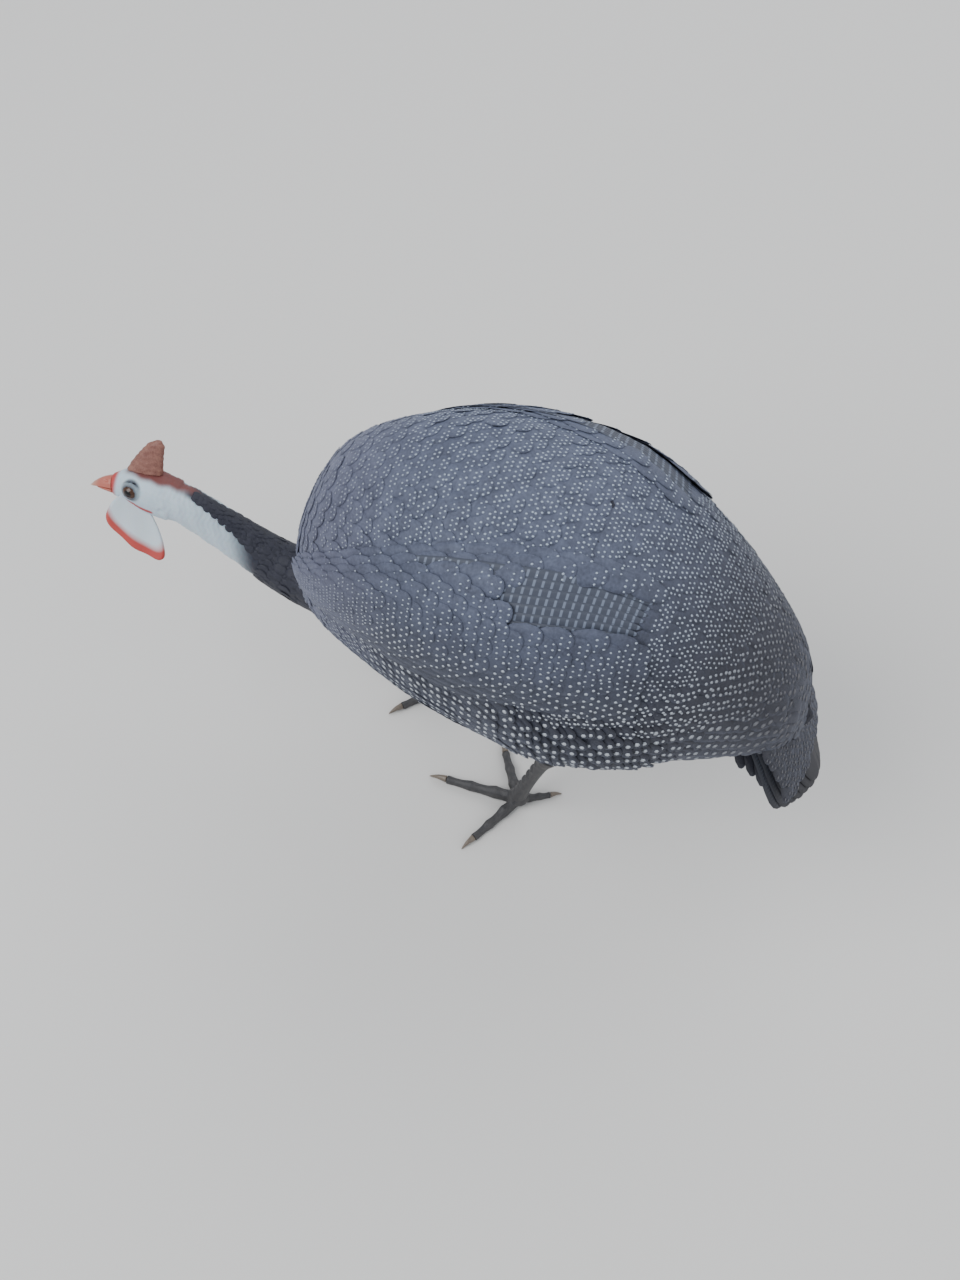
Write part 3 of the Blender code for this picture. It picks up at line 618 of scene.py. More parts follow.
def face_material():
    """Bare skin: the painted shares say where it is maroon, red or dark slate. The dark slate also
    carries painted shade in the ear pit and around the eyes.
    """
    made, tree = new_material("face_skin")
    mask = mottled(tree, 260)
    shares = painted_shares(tree)
    colour = mixed(tree, mask, FACE_SHADE, FACE_BLUE)
    for name, tint in (("Blue", NECK_SLATE), ("Red", CROWN_MAROON), ("Green", WATTLE_RED)):
        colour = mixed(tree, shares[name], colour, tint)
    shade(tree, {"Base Color": colour, "Subsurface Weight": 0.08})
    shade(tree, grain(tree, mask, 0.45, 0.65, 0.45))
    return made


def bill_material():
    """Red at its base, paling to horn at the tip."""
    made, tree = new_material("bill_horn")
    mask = mottled(tree, 200)
    tipward = along_axis(tree, 1, HEAD_Y - 0.022, HEAD_Y - 0.034)
    red = mixed(tree, mask, BILL_RED, BILL_LIGHT)
    shade(tree, {"Base Color": mixed(tree, tipward, red, BILL_PALE)})
    shade(tree, grain(tree, mask, 0.30, 0.45, 0.2))
    return made


def eye_material():
    """A black pupil in a dark brown iris, under a wet surface."""
    made, tree = new_material("eye")
    colour = mixed(tree, painted_shares(tree)["Red"], EYE_BROWN, PUPIL_BLACK)
    shade(tree, {"Base Color": colour, "Roughness": 0.10})
    return made


def grained_material(name, dark, light, scale, low, high, bump):
    made, tree = new_material(name)
    mask = mottled(tree, scale)
    shade(tree, {"Base Color": ramp(tree, mask, ((0.32, dark), (0.68, light)))})
    shade(tree, grain(tree, mask, low, high, bump))
    return made


def wattle_material():
    """Pale blue-white in the middle of the cup, red towards its free rim."""
    made, tree = new_material("wattle_skin")
    rimward = add(tree, "ShaderNodeSeparateXYZ", {0: vane_uv(tree)}).outputs["X"]
    colour = ramp(tree, rimward, ((0.22, FACE_BLUE), (0.52, WATTLE_RED)))
    shade(tree, {"Base Color": colour, "Subsurface Weight": 0.10})
    shade(tree, grain(tree, mottled(tree, 420), 0.40, 0.60, 0.35))
    return made


# Plumage built from arrays
class Plumage:
    """Gathers many thin vanes and pearls, and makes each group one mesh."""

    def __init__(self):
        self.points, self.faces, self.vane, self.bake = [], [], [], []

    def grid(self, top, bottom, coords, root, patch=(BAKE_PATCH, BAKE_PATCH)):
        """A closed sheet between two equal grids of points. coords is the UV on the vane, and root
        and patch are the corner and size of its place in the baked picture."""
        rows, columns = len(top), len(top[0])
        start = len(self.points)
        for sheet in (top, bottom):
            for row in sheet:
                self.points.extend(row)

        def index(side, i, j):
            return start + side * rows * columns + i * columns + j

        def put(corners, places):
            self.faces.append(corners)
            self.vane.extend(coords[i][j] for i, j in places)
            u, v = root
            for i, j in places:
                across, along = coords[i][j]
                self.bake.append((u + across * patch[0], v + along * patch[1]))

        for i in range(rows - 1):
            for j in range(columns - 1):
                places = ((i, j), (i, j + 1), (i + 1, j + 1), (i + 1, j))
                put(tuple(index(0, a, b) for a, b in places), places)
                put(tuple(index(1, a, b) for a, b in places[::-1]), places[::-1])
        rim = [(0, j) for j in range(columns)]
        rim += [(i, columns - 1) for i in range(1, rows)]
        rim += [(rows - 1, j) for j in range(columns - 2, -1, -1)]
        rim += [(i, 0) for i in range(rows - 2, 0, -1)]
        for here, following in zip(rim, rim[1:] + rim[:1]):
            places = (following, here, here, following)
            corners = (index(0, *following), index(0, *here), index(1, *here), index(1, *following))
            put(corners, places)

    def lens(self, middle, across, along, out, root):
        """A low oval bead: a rim around a raised middle, closed below."""
        start = len(self.points)
        u, v = root
        cell = [root, (u + BAKE_PATCH, v), (u, v + BAKE_PATCH)]
        self.points.append(middle + out)
        for k in range(PEARL_POINTS):
            angle = 2 * math.pi * k / PEARL_POINTS
            self.points.append(middle + across * math.cos(angle) + along * math.sin(angle))
        self.points.append(middle - out)
        last = start + PEARL_POINTS + 1
        for k in range(PEARL_POINTS):
            first = start + 1 + k
            second = start + 1 + (k + 1) % PEARL_POINTS
            for corners in ((start, first, second), (last, second, first)):
                self.faces.append(corners)
                self.vane.extend([(0.5, 0.5)] * 3)
                self.bake.extend(cell)

    def build(self, name, material):
        mesh = bpy.data.meshes.new(name)
        mesh.from_pydata([tuple(point) for point in self.points], [], self.faces)
        for layer, values in (("Vane", self.vane), ("OFBake", self.bake)):
            uvs = mesh.uv_layers.new(name=layer)
            uvs.data.foreach_set("uv", np.array(values, dtype=np.float32).ravel())
        mesh.materials.append(material)
        mesh.shade_smooth()
        mesh.update()
        made = link(mesh, name)
        tidy = bmesh.new()
        tidy.from_mesh(mesh)
        bmesh.ops.recalc_face_normals(tidy, faces=tidy.faces)
        tidy.to_mesh(mesh)
        tidy.free()
        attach(made, BODY)
        return made


def unwrapped(point):
    """Where a root lies on an unwrap of the bird's own shape: along it, and around it."""
    u = (point.y - BOX_LOW.y) / (BOX_HIGH.y - BOX_LOW.y)
    v = 0.5 + math.atan2(point.x, point.z - AXIS_Z) / (2 * math.pi)
    return (0.01 + 0.97 * u, 0.01 + 0.97 * v)


def put_vane(
    store, place, length, half, root, outline=FEATHER_OUTLINE, bend=FEATHER_BEND,
    thickness=FEATHER_THICKNESS, patch=(BAKE_PATCH, BAKE_PATCH),
):
    """A thin curved feather. place gives a point for metres along, across and over."""
    top, bottom, coords = [], [], []
    for share, width in outline:
        above, below, marks = [], [], []
        for side in (-1, -0.5, 0, 0.5, 1):
            across = side * half * width
            curl = bend * side**2
            above.append(place(length * share, across, thickness / 2 - curl))
            below.append(place(length * share, across, -thickness / 2 - curl))
            marks.append((0.5 + 0.5 * side, share))
        top.append(above)
        bottom.append(below)
        coords.append(marks)
    store.grid(top, bottom, coords, root, patch)


# Surfaces that feathers grow on
def reach_at(position):
    """How far a share of the body's length is ahead of the widest section."""
    swing, middle = BODY_WAVE
    return swing * math.cos(math.pi * position) + middle * (1 - math.sin(math.pi * position))


def position_at(y):
    """The inverse of reach_at."""
    swing, middle = BODY_WAVE
    position = 0.5
    for _ in range(6):
        wave = (WIDEST_Y - y - middle * (1 - math.sin(math.pi * position))) / swing
        position = math.acos(min(1, max(-1, wave))) / math.pi
    return position


def axis_height(position):
    front, top, rear = AXIS_HEIGHTS
    if position < AXIS_TOP_SHARE:
        return top + (front - top) * (1 - position / AXIS_TOP_SHARE) ** 2
    return top + (rear - top) * ((position - AXIS_TOP_SHARE) / (1 - AXIS_TOP_SHARE)) ** 2


def cast(surface, start, direction):
    """The first point hit and its outward normal, or nothing."""
    point, normal, _, _ = surface.ray_cast(start, direction)
    if point is None:
        return None, None
    if normal.dot(direction) < 0:
        normal = -normal
    return point, normal


def body_ray(share, angle):
    """The skin's point and normal on a ray from a line inside the body: share runs from where the
    neck leaves the breast to the rump, and the ray leans forward there and backward here."""
    lean = math.radians(2 * RAY_LEAN * share - RAY_LEAN)
    start_y = BODY_FRONT + RAY_START + (BODY_BACK - BODY_FRONT - RAY_SHORTER) * share
    height = BREAST_POLE + (AXIS_Z - BREAST_POLE) * min(1, 2.5 * share)
    height += (RUMP_POLE - AXIS_Z) * max(0, 2 * share - 1)
    across = Vector((math.sin(angle), 0, math.cos(angle)))
    direction = across * math.cos(lean) + Vector((0, 1, 0)) * math.sin(lean)
    return cast(TORSO_SURFACE, Vector((0, start_y, height)), direction)


def flank_point(side, back, down, rise):
    """A point over the flank, by metres back from the bend of the wing and down from its middle."""
    position = WING_POSITION + back / WING_REACH_SHARE
    angle = WING_ANGLE + WING_CLIMB * back + down / FLANK_RADIUS
    start = Vector((0, WIDEST_Y - reach_at(position), axis_height(position)))
    across = SIDES[side] * math.sin(angle) * SECTION_NARROWNESS
    direction = Vector((across, 0, math.cos(angle))).normalized()
    point, normal = cast(TORSO_SURFACE, start, direction)
    if point is None:
        return start + direction * FLANK_RADIUS
    return point + normal * rise


def wing_spread(back):
    """The share of the wing's full width that its outline has there."""
    if back <= 0:
        return 0
    return max(math.sin(math.pi * (0.06 + 0.52 * back / COVERT_LENGTH)) ** 0.5, 0.3)


def wing_cover(side, point):
    """True where the wing's own feathers cover the body."""
    position = position_at(point.y)
    back = (position - WING_POSITION) * WING_REACH_SHARE
    if not WING_FRONT < back < WING_END:
        return False
    angle = math.atan2(SIDES[side] * point.x / SECTION_NARROWNESS, point.z - axis_height(position))
    down = (angle - WING_ANGLE - WING_CLIMB * back) * FLANK_RADIUS
    spread = wing_spread(min(back, COVERT_LENGTH))
    return COVERT_TOP * spread + WING_BORDER < down < COVERT_LOW * spread - WING_BORDER


def tail_point(along, across, rise):
    """A point by metres along the drooping tail, across it, and above it."""
    droop = TAIL_DROOP + TAIL_BEND * along
    start = Vector((0, WIDEST_Y - TAIL_ROOT_REACH, TAIL_ROOT_HEIGHT))
    back = Vector((0, math.cos(droop), -math.sin(droop)))
    up = Vector((0, math.sin(droop), math.cos(droop)))
    return start + back * along + Vector((across, 0, 0)) + up * (rise - TAIL_ROOF * across**2)


def pearls_at(point):
    """The pattern of pearls on a feather: few and large low on the flank, fine on the back and
    in front."""
    low = (AXIS_Z + 0.072 - point.z) / 0.100
    low -= 0.5 * smooth_step(0.070, 0.120, WIDEST_Y - point.y)
    if low < PEARL_MIDDLE_LOW:
        return PEARLS_FINE
    return PEARLS_MIDDLE if low < PEARL_LARGE_LOW else PEARLS_LARGE


def put_pearls(store, place, length, pattern, root, draw):
    """Beads along the tip of one feather, each lying in the vane."""
    size, broader, rows = pattern
    step = PEARL_STEP
    for behind, places in rows:
        for side in places:
            across = side + draw.uniform(-PEARL_ASIDE, PEARL_ASIDE)
            along = length - behind * draw.uniform(*PEARL_BEHIND) - PEARL_TIP_CURVE * across**2
            middle = place(along, across, FEATHER_THICKNESS / 2 + PEARL_RISE)
            lengthways = place(along + step, across, 0) - place(along - step, across, 0)
            lengthways.normalize()
            sideways = place(along, across + step, 0) - place(along, across - step, 0)
            sideways.normalize()
            out = sideways.cross(lengthways).normalized()
            if out.dot(place(along, across, step) - place(along, across, 0)) < 0:
                out = -out
            half = size * draw.uniform(*PEARL_SPREAD)
            store.lens(middle, sideways * half * broader, lengthways * half, out * PEARL_DOME, root)


def looseness(point):
    """How loosely the feathers lie: 1 over the thigh and the hind flank, where they hang."""
    back = point.y - WIDEST_Y
    along = smooth_step(*LOOSE_FRONT, back) * (1 - smooth_step(*LOOSE_REAR, back))
    return along * (1 - smooth_step(*LOOSE_HEIGHTS, point.z - AXIS_Z))


def falling_away(surface, point, normal, along, length):
    """How fast the surface curves away under a feather, for its height by the distance squared."""
    tip = point + along * length
    nearest = surface.find_nearest(tip)[0]
    return min(STEEPEST_FALL, max(0, (tip - nearest).dot(normal)) / length**2)


def contour_feather(surface, feathers, pearls, root_at, towards, size, draw, pattern=None):
    """One small body feather, rooted on the skin and lifting towards its tip. root_at is the
    place of its root and the surface's normal there."""
    point, normal = root_at
    along = (towards - normal * towards.dot(normal)).normalized()
    across = along.cross(normal).normalized()
    along = (along + across * draw.uniform(-FEATHER_TURN, FEATHER_TURN)).normalized()
    across = along.cross(normal).normalized()
    loose = looseness(point) if pattern else 0
    lift = FEATHER_LIFT * draw.uniform(*LIFT_SPREAD) + loose * draw.uniform(*LOOSE_LIFT)
    length = FEATHER_LENGTH * size * draw.uniform(*LENGTH_SPREAD) * (1 + LOOSE_LENGTH * loose)
    drop = falling_away(surface, point, normal, along, length)

    def place(far, aside, over):
        height = over + lift * far - drop * far**2 - FEATHER_CROWN * aside**2
        return point + along * far + across * aside + normal * height

    root = unwrapped(point)
    put_vane(feathers, place, length, FEATHER_HALF * size, root)
    if pattern:
        put_pearls(pearls, place, length, pattern, root, draw)


def even_shares(steps=500):
    """Shares of the body ray's sweep at which rows lie one pitch apart."""
    shares = [0.0]
    travelled = 0.0
    last = []
    for i in range(steps + 1):
        rays = [body_ray(i / steps, angle)[0] for angle in ROW_TEST_ANGLES]
        points = [point for point in rays if point]
        if len(points) == len(last):
            travelled += sum((a - b).length for a, b in zip(points, last)) / len(points)
        if travelled >= ROW_PITCH:
            shares.append(i / steps)
            travelled -= ROW_PITCH
        last = points
    return shares


def feather_flow(point, share, angle):
    """Which way a body feather lies: away from the neck, and at the rump down over the tail."""
    ahead = body_ray(min(share + 0.02, 1.0), angle)[0] or point
    flow = ahead - point
    flow = flow.normalized() if flow.length > 1e-5 else Vector((0, 1, 0))
    tailward = (tail_point(0.085, 0, 0) - point).normalized()
    pull = min(1, max(0, (share - TAILWARD_SHARE) / 0.20))
    return flow.lerp(tailward, pull)


def feather_body(groups, pearls):
    """Rows of feathers from the neck to the tail, except where a wing covers the body."""
    draw = random.Random(11)
    for row, share in enumerate(even_shares()):
        ring = [body_ray(share, 2 * math.pi * k / RING_TESTS)[0] for k in range(RING_TESTS)]
        ring = [point for point in ring if point]
        around = sum((a - b).length for a, b in zip(ring, ring[1:] + ring[:1]))
        count = max(6, round(around / FEATHER_SPACING))
        for k in range(count):
            angle = 2 * math.pi * (k + 0.5 * (row % 2)) / count
            point, normal = body_ray(share, angle)
            if point is None:
                continue
            if any(wing_cover(side, point) and SIDES[side] * point.x > 0 for side in SIDES):
                continue
            part = "front" if share < FRONT_SHARE else "middle" if share < MIDDLE_SHARE else "rear"
            flow = feather_flow(point, share, angle) - LOOSE_HANG * looseness(point)
            size = 1 + 0.25 * max(0, share - 0.8) / 0.2
            stores = TORSO_SURFACE, groups[part], pearls[part]
            contour_feather(*stores, (point, normal), flow, size, draw, pearls_at(point))


def feather_coverts(side, coverts, pearls):
    """Rows of small feathers over the folded arm, open where the secondaries show."""
    draw = random.Random(23 if side == "left" else 29)
    window_start, window_top, window_low = WING_WINDOW
    swing, waves = WINDOW_WAVE
    flat, rounded = COVERT_BULGE
    for tier in range(int(COVERT_LENGTH / ROW_PITCH)):
        back = COVERT_START + tier * ROW_PITCH
        shift = 0.5 * (tier % 2)
        part = back / COVERT_LENGTH
        spread = wing_spread(back)
        top, low = COVERT_TOP * spread, COVERT_LOW * spread
        count = max(3, round((low - top) / FEATHER_SPACING))
        arch = math.sin(math.pi * min(1, 0.15 + 0.85 * part))
        bulge = WING_THICKNESS * (flat + rounded * arch)
        for k in range(count + 1):
            down = top + (low - top) * (k + shift) / count
            start = window_start + swing * math.sin(waves * down)
            shows_quills = back > start and window_top < down < window_low
            if k + shift > count or shows_quills:
                continue
            edge = 1 - abs(2 * (down - top) / (low - top) - 1) ** COVERT_EDGE
            rise = COVERT_FOOT + bulge * edge
            lift = COVERT_LIFT * draw.uniform(*COVERT_LIFT_SPREAD)
            turn = draw.uniform(-COVERT_TURN, COVERT_TURN)

            def place(far, aside, over, back=back, down=down, rise=rise, lift=lift, turn=turn):
                height = rise + over + lift * far - COVERT_CROWN * aside**2
                return flank_point(side, back + far, down + aside + turn * far, height)

            point = place(0, 0, 0)
            root = unwrapped(point)
            length = FEATHER_LENGTH * draw.uniform(*COVERT_LENGTH_SPREAD)
            put_vane(coverts, place, length, FEATHER_HALF, root)
            put_pearls(pearls, place, length, pearls_at(point), root, draw)


def quill_cell(index, count):
    """A quill's own place in the baked picture: a column for each, over its full height."""
    return (0.01 + 0.98 * index / count, 0.01), (0.94 / count, 0.98)


def quill_outline(steps, opening, closing):
    """Shares and widths of a long vane that widens quickly from its quill and closes round."""
    shares = [i / steps for i in range(steps)]
    return [(share * 0.88, min(1.0, 0.35 + opening * share)) for share in shares] + closing


def feather_quills(side, quills):
    """The folded flight feathers, each lying over the next one below it."""
    outline = quill_outline(10, 2.4, [(0.88, 0.88), (0.95, 0.64), (0.985, 0.38), (1, 0.14)])
    total = sum(values[0] for values in QUILLS_OF_WING.values())
    index = 0
    for count, upper, lower, lengths, half, rise, turns in QUILLS_OF_WING.values():
        for k in range(count):
            part = k / (count - 1)
            root_back, root_down = (a + (b - a) * part for a, b in zip(upper, lower))
            length = lengths[0] + (lengths[1] - lengths[0]) * part
            turn = turns[0] + (turns[1] - turns[0]) * part

            def place(far, aside, over, b=root_back, d=root_down, turn=turn, rise=rise):
                back = b + far * math.cos(turn) - aside * math.sin(turn)
                down = d + far * math.sin(turn) + aside * math.cos(turn)
                height = rise * smooth_step(*QUILL_RISES, far)
                height *= 1 - 0.9 * smooth_step(*QUILL_SINKS, far)
                height += over - QUILL_TILT * aside
                return flank_point(side, back, down, height)

            corner, patch = quill_cell(index, total)
            put_vane(
                quills, place, length, half, corner, outline,
                bend=QUILL_BEND, thickness=QUILL_THICKNESS, patch=patch,
            )
            index += 1


# Tail, limbs and neck
def feather_tail(quills, coverts, pearls):
    """A fan of quills with the middle ones on top, and coverts over and under it."""
    draw = random.Random(41)
    outline = quill_outline(8, 2.2, [(0.88, 0.92), (0.95, 0.74), (0.985, 0.48), (1, 0.22)])
    top, step = TAIL_STACK
    for i in range(TAIL_QUILLS):
        share = (2 * i + 1 - TAIL_QUILLS) / (TAIL_QUILLS - 1)
        rank = abs(2 * i + 1 - TAIL_QUILLS) - (1 if share > 0 else 0)
        turn = share * TAIL_FAN

        def place(far, aside, over, share=share, turn=turn, rank=rank):
            back = TAIL_QUILL_START + far * math.cos(turn) - aside * math.sin(turn)
            across = share * TAIL_QUILL_SPREAD + far * math.sin(turn) + aside * math.cos(turn)
            return tail_point(back, across, top - step * rank + over)

        length = TAIL_QUILL_LENGTH * (1 - 0.10 * share**2) * draw.uniform(0.98, 1.01)
        corner, patch = quill_cell(i, TAIL_QUILLS)
        put_vane(
            quills, place, length, TAIL_QUILL_HALF, corner, outline,
            thickness=QUILL_THICKNESS, patch=patch,
        )
    for sign, rows, start, foot in TAIL_COVERTS:
        for row in range(rows):
            feather_tail_row(coverts, pearls, sign, row, rows, start, foot, draw)


def feather_tail_row(coverts, pearls, sign, row, rows, start, foot, draw):
    """One row of tail coverts across the tail. sign is 1 over the quills and -1 under them."""
    along = start + row * ROW_PITCH
    part = row / rows
    widest, narrowing = TAIL_COVERT_HALF
    half = widest - narrowing * part
    count = round(2 * half / (FEATHER_SPACING * 0.9))
    height = foot * (1 - part) ** TAIL_COVERT_THINNING + TAIL_COVERT_FOOT
    for k in range(count + 1):
        across = -half + 2 * half * (k + 0.5 * (row % 2)) / count
        if across > half + 0.001:
            continue
        turn = draw.uniform(-TAIL_COVERT_TURN, TAIL_COVERT_TURN)
        lean = TAIL_COVERT_LEAN * across / half + turn
        length = FEATHER_LENGTH * TAIL_COVERT_LONGER * draw.uniform(*LENGTH_SPREAD)

        def place(far, aside, over, across=across, lean=lean):
            rise = sign * (height + over - TAIL_COVERT_SINKING * far)
            return tail_point(along + far, across + aside + lean * far, rise)

        root = unwrapped(place(0, 0, 0))
        put_vane(coverts, place, length, FEATHER_HALF * TAIL_COVERT_BROADER, root)
        put_pearls(pearls, place, length, PEARLS_MIDDLE, root, draw)


def along_path(path, travelled):
    """The place on a path of points after so many metres, and the direction there."""
    for a, b in zip(path, path[1:]):
        length = (b - a).length
        if travelled <= length:
            break
        travelled -= length
    return a.lerp(b, travelled / length), (b - a).normalized()


def feather_limb(store, surface, path, rows, draw, arcs=(math.pi, math.pi)):
    """Small plain feathers around a limb or the neck, in rows along a path, and growing from the
    first size to the second. arcs is how far down each side they reach from the upper middle."""
    pitch, spacing, sizes = rows
    total = sum((b - a).length for a, b in zip(path, path[1:]))
    for row in range(int(total / pitch)):
        middle, forward = along_path(path, row * pitch)
        side = forward.cross(Vector((0, 0, 1)))
        if side.length < 0.5:
            side = Vector((1, 0, 0))
        side = (side - forward * side.dot(forward)).normalized()
        up = side.cross(forward)
        size = sizes[0] + (sizes[1] - sizes[0]) * row * pitch / total
        arc = arcs[0] + (arcs[1] - arcs[0]) * row * pitch / total
        first = cast(surface, middle, side)[0]
        radius = (first - middle).length if first else 0.012
        count = max(4, round(2 * arc * radius / (spacing * size)))
        for k in range(count):
            angle = arc * (2 * (k + 0.5 * (row % 2)) / count - 1)
            direction = side * math.sin(angle) + up * math.cos(angle)
            point, normal = cast(surface, middle, direction)
            if point:
                contour_feather(surface, store, None, (point, normal), forward, size, draw)


def feather_neck(store):
    """Dark small feathers from the slate part of the neck into the breast, a narrow band of
    hair-like ones up the nape."""
    draw = random.Random(53)
    path = [Vector((side, WIDEST_Y - reach, height)) for reach, side, height in NECK_PATH]
    feather_limb(store, NECK_SURFACE, path[1:], NECK_ROWS, draw)
    nape = [HEAD_PLACE @ NAPE_START] + path[:2]
    feather_limb(store, NECK_SURFACE, nape, NAPE_ROWS, draw, arcs=NAPE_ARCS)


def feather_leg(side, store):
    """Small dark feathers down the thigh and shin, along a line through the leg's own middle."""
    draw = random.Random(61 if side == "left" else 67)
    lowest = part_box(f"leg_{side}")[0].z
    points = [vert.co for vert in frame["nodes"][f"leg_{side}"].data.vertices]
    middles = []
    for low, high in (ANKLE_BAND, THIGH_BAND):
        band = [point for point in points if lowest + low < point.z < lowest + high]
        middles.append(sum(band, Vector()) / len(band))
    ankle, thigh = middles
    hip = thigh + (thigh - ankle) * HIP_BEYOND
    feather_limb(store, LEG_SURFACES[side], [hip, ankle], LEG_ROWS, draw)


# Frame
deselect_all()
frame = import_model()
BODY = next(iter(frame["bodies"]))
CAD_BOX = [list(corner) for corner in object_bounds()]
BOX_LOW, BOX_HIGH = (Vector(corner) for corner in CAD_BOX)
TORSO_LOW, TORSO_HIGH = (Vector(corner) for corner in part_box("torso"))
BODY_FRONT, BODY_BACK = TORSO_LOW.y, TORSO_HIGH.y
WIDEST_Y = BODY_FRONT + BREAST_REACH
AXIS_Z = (TORSO_LOW.z + TORSO_HIGH.z) / 2 - AXIS_BELOW_MIDDLE
BREAST_POLE = TORSO_LOW.z + BREAST_POLE_HEIGHT
RUMP_POLE = TORSO_LOW.z + RUMP_POLE_HEIGHT
EYE_MIDDLES = {side: middle_of(f"eye_{side}") for side in SIDES}
HEAD_MIDDLE = (EYE_MIDDLES["left"] + EYE_MIDDLES["right"]) / 2
HEAD_Y = HEAD_MIDDLE.y
HEAD_TURN = (
    Matrix.Rotation(HEAD_YAW, 4, "Z")
    @ Matrix.Rotation(HEAD_PITCH, 4, "X")
    @ Matrix.Rotation(HEAD_ROLL, 4, "Y")
)
HEAD_PLACE = Matrix.Translation(HEAD_MIDDLE - HEAD_TURN @ EYES_IN_HEAD) @ HEAD_TURN

mottling = speckle_group()
PLUMAGE = plumage_material()
QUILLS = flight_material()
PEARLS = pearl_material()
UNDER = skin_under_material()
NECK_PLUMAGE = grained_material("neck_plumage", NECK_DARK, NECK_LIGHT, 420, 0.55, 0.75, 0.3)
FACE = face_material()
WATTLE = wattle_material()
HORN = grained_material("casque_horn", HORN_BROWN, HORN_PALE, 180, 0.45, 0.65, 0.5)
BILL = bill_material()
SHANK = grained_material("shank_scale", SHANK_DARK, SHANK_PALE, 300, 0.45, 0.65, 0.6)
CLAW = grained_material("claw_horn", CLAW_DARK, CLAW_HORN, 240, 0.30, 0.45, 0.3)
EYE = eye_material()


# Pieces
def finish_piece(target, material, *nodes):
    """Gives a piece its material and body, and hides the nodes of the frame it stands for."""
    target.data.materials.clear()
    target.data.materials.append(material)
    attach(target, BODY)
    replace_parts(target, *nodes)
    return target


def build_skin():
    """One skin under the plumage, from the torso and the neck."""
    skin = remeshed("plumage_skin", ("torso", "neck"), SKIN_VOXEL, 6)

    def depth(point):
        neck = point.y < BODY_FRONT - 0.002
        return COAT_DEPTH * (NECK_SKIN_SHARE if neck else 1.0)

    sink(skin, depth)
    return finish_piece(skin, UNDER, "torso", "neck")


def build_leg_skin(side):
    skin = remeshed(f"leg_skin_{side}", (f"leg_{side}",), LEG_VOXEL, 4)
    sink(skin, lambda point: LEG_COAT)
    return finish_piece(skin, UNDER, f"leg_{side}")


def face_shares(point):
    """Shares of maroon, red and dark slate at a place in the head's own frame. The dark slate in
    the ear pit is painted shade, and around the eyes partly painted shade.
    """
    here = mirrored(point)
    aside, back, height = here
    wavy = height + 0.0004 * math.sin(520 * back) + 0.10 * max(0, back) - 0.22 * aside
    crown = smooth_step(*CROWN_HEIGHTS, wavy)
    crown *= smooth_step(*CROWN_FRONT, back) * (1 - smooth_step(*CROWN_BACK, back))
    gape = 1 - smooth_step(*GAPE_EDGE, distance_to(here, GAPE_ENDS))
    cere = smooth_step(*CERE_EDGE, back)
    line = -0.0015 - 0.16 * (back - 0.016)
    dorsal = height - line - 0.20 * aside + 0.12 * (back - 0.030)
    nape = smooth_step(*NAPE_BACK, back) * smooth_step(*NAPE_HEIGHTS, dorsal)
    low_neck = smooth_step(*LOW_NECK, back + 0.20 * (height - line))
    # Painted shade: the ear pit is painted dark slate for the shade inside the ear opening
    ear = 1 - smooth_step(*EAR_SHADE_EDGE, (here - EAR_IN_HEAD).length)
    # The dark ring around the eye is partly the lids' own dark rim and partly painted shade in the
    # groove where the skin meets the eyeball
    lid_rim_and_shade = 1 - smooth_step(*LID_SHADE_EDGE, (here - EYE_IN_HEAD).length)
    return crown, max(gape, cere), max(nape, low_neck, 0.85 * ear, 0.90 * lid_rim_and_shade)


def paint(target, shares_at):
    """Puts a colour on each point, from a function of its place in the head's own frame."""
    layer = target.data.color_attributes.new("Shares", "FLOAT_COLOR", "POINT")
    to_head = HEAD_PLACE.inverted()
    for vert, value in zip(target.data.vertices, layer.data):
        value.color = (*shares_at(to_head @ vert.co), 1)


def ear_opening(here):
    """How far the skin draws in at the ear, with a low rim around it."""
    away = (here - EAR_IN_HEAD).length
    pit = EAR_DEPTH * (1 - smooth_step(0.0006, 0.0020, away))
    return pit - EAR_RIM * (1 - smooth_step(0.0020, 0.0036, away))


def wrinkle(point):
    """Relief of the bare skin: fine folds, pleats at the throat, rings around the eye."""
    folds = math.sin(point.y * 1900 + 2.2 * math.sin(point.z * 520) + 1.3 * math.sin(point.x * 430))
    pleats = math.sin(point.y * 620 + 240 * point.z)
    behind = smooth_step(0.010, 0.026, point.y)
    here = mirrored(point)
    from_eye = (here - EYE_IN_HEAD).length
    near_eye = 1 - smooth_step(0.0075, 0.0120, from_eye)
    relief = WRINKLE_DEPTH * folds * (0.3 + 0.7 * behind) + PLEAT_DEPTH * pleats * behind
    return relief + LID_RING_DEPTH * math.sin(900 * from_eye) * near_eye + ear_opening(here)


def brows():
    """Balls that close the skin above each eye."""
    shapes = []
    for sign in SIDES.values():
        middle = EYE_IN_HEAD + BROW_FROM_EYE
        place = Matrix.Translation((sign * middle.x, middle.y, middle.z))
        shapes.append(HEAD_PLACE @ place @ Matrix.Diagonal((*BROW_HALVES, 1)))
    return shapes


def build_head():
    """Bare head and upper neck in one skin, cut off under the neck's feathers."""
    face = remeshed("face", ("head", "neck"), HEAD_VOXEL, 3, fillers=brows())
    trimmed = bmesh.new()
    trimmed.from_mesh(face.data)
    far = [vert for vert in trimmed.verts if vert.co.y > HEAD_Y + FACE_LENGTH]
    bmesh.ops.delete(trimmed, geom=far, context="VERTS")
    trimmed.to_mesh(face.data)
    trimmed.free()
    to_head = HEAD_PLACE.inverted()
    sink(face, lambda point: wrinkle(to_head @ point))
    paint(face, face_shares)
    return finish_piece(face, FACE, "head")


def casque_ridges(point):
    """Low growth ridges around the casque, at a place in the head's own frame."""
    return CASQUE_RIDGE * math.sin(point.z * 1500 + 1.5 * math.sin(point.y * 500))


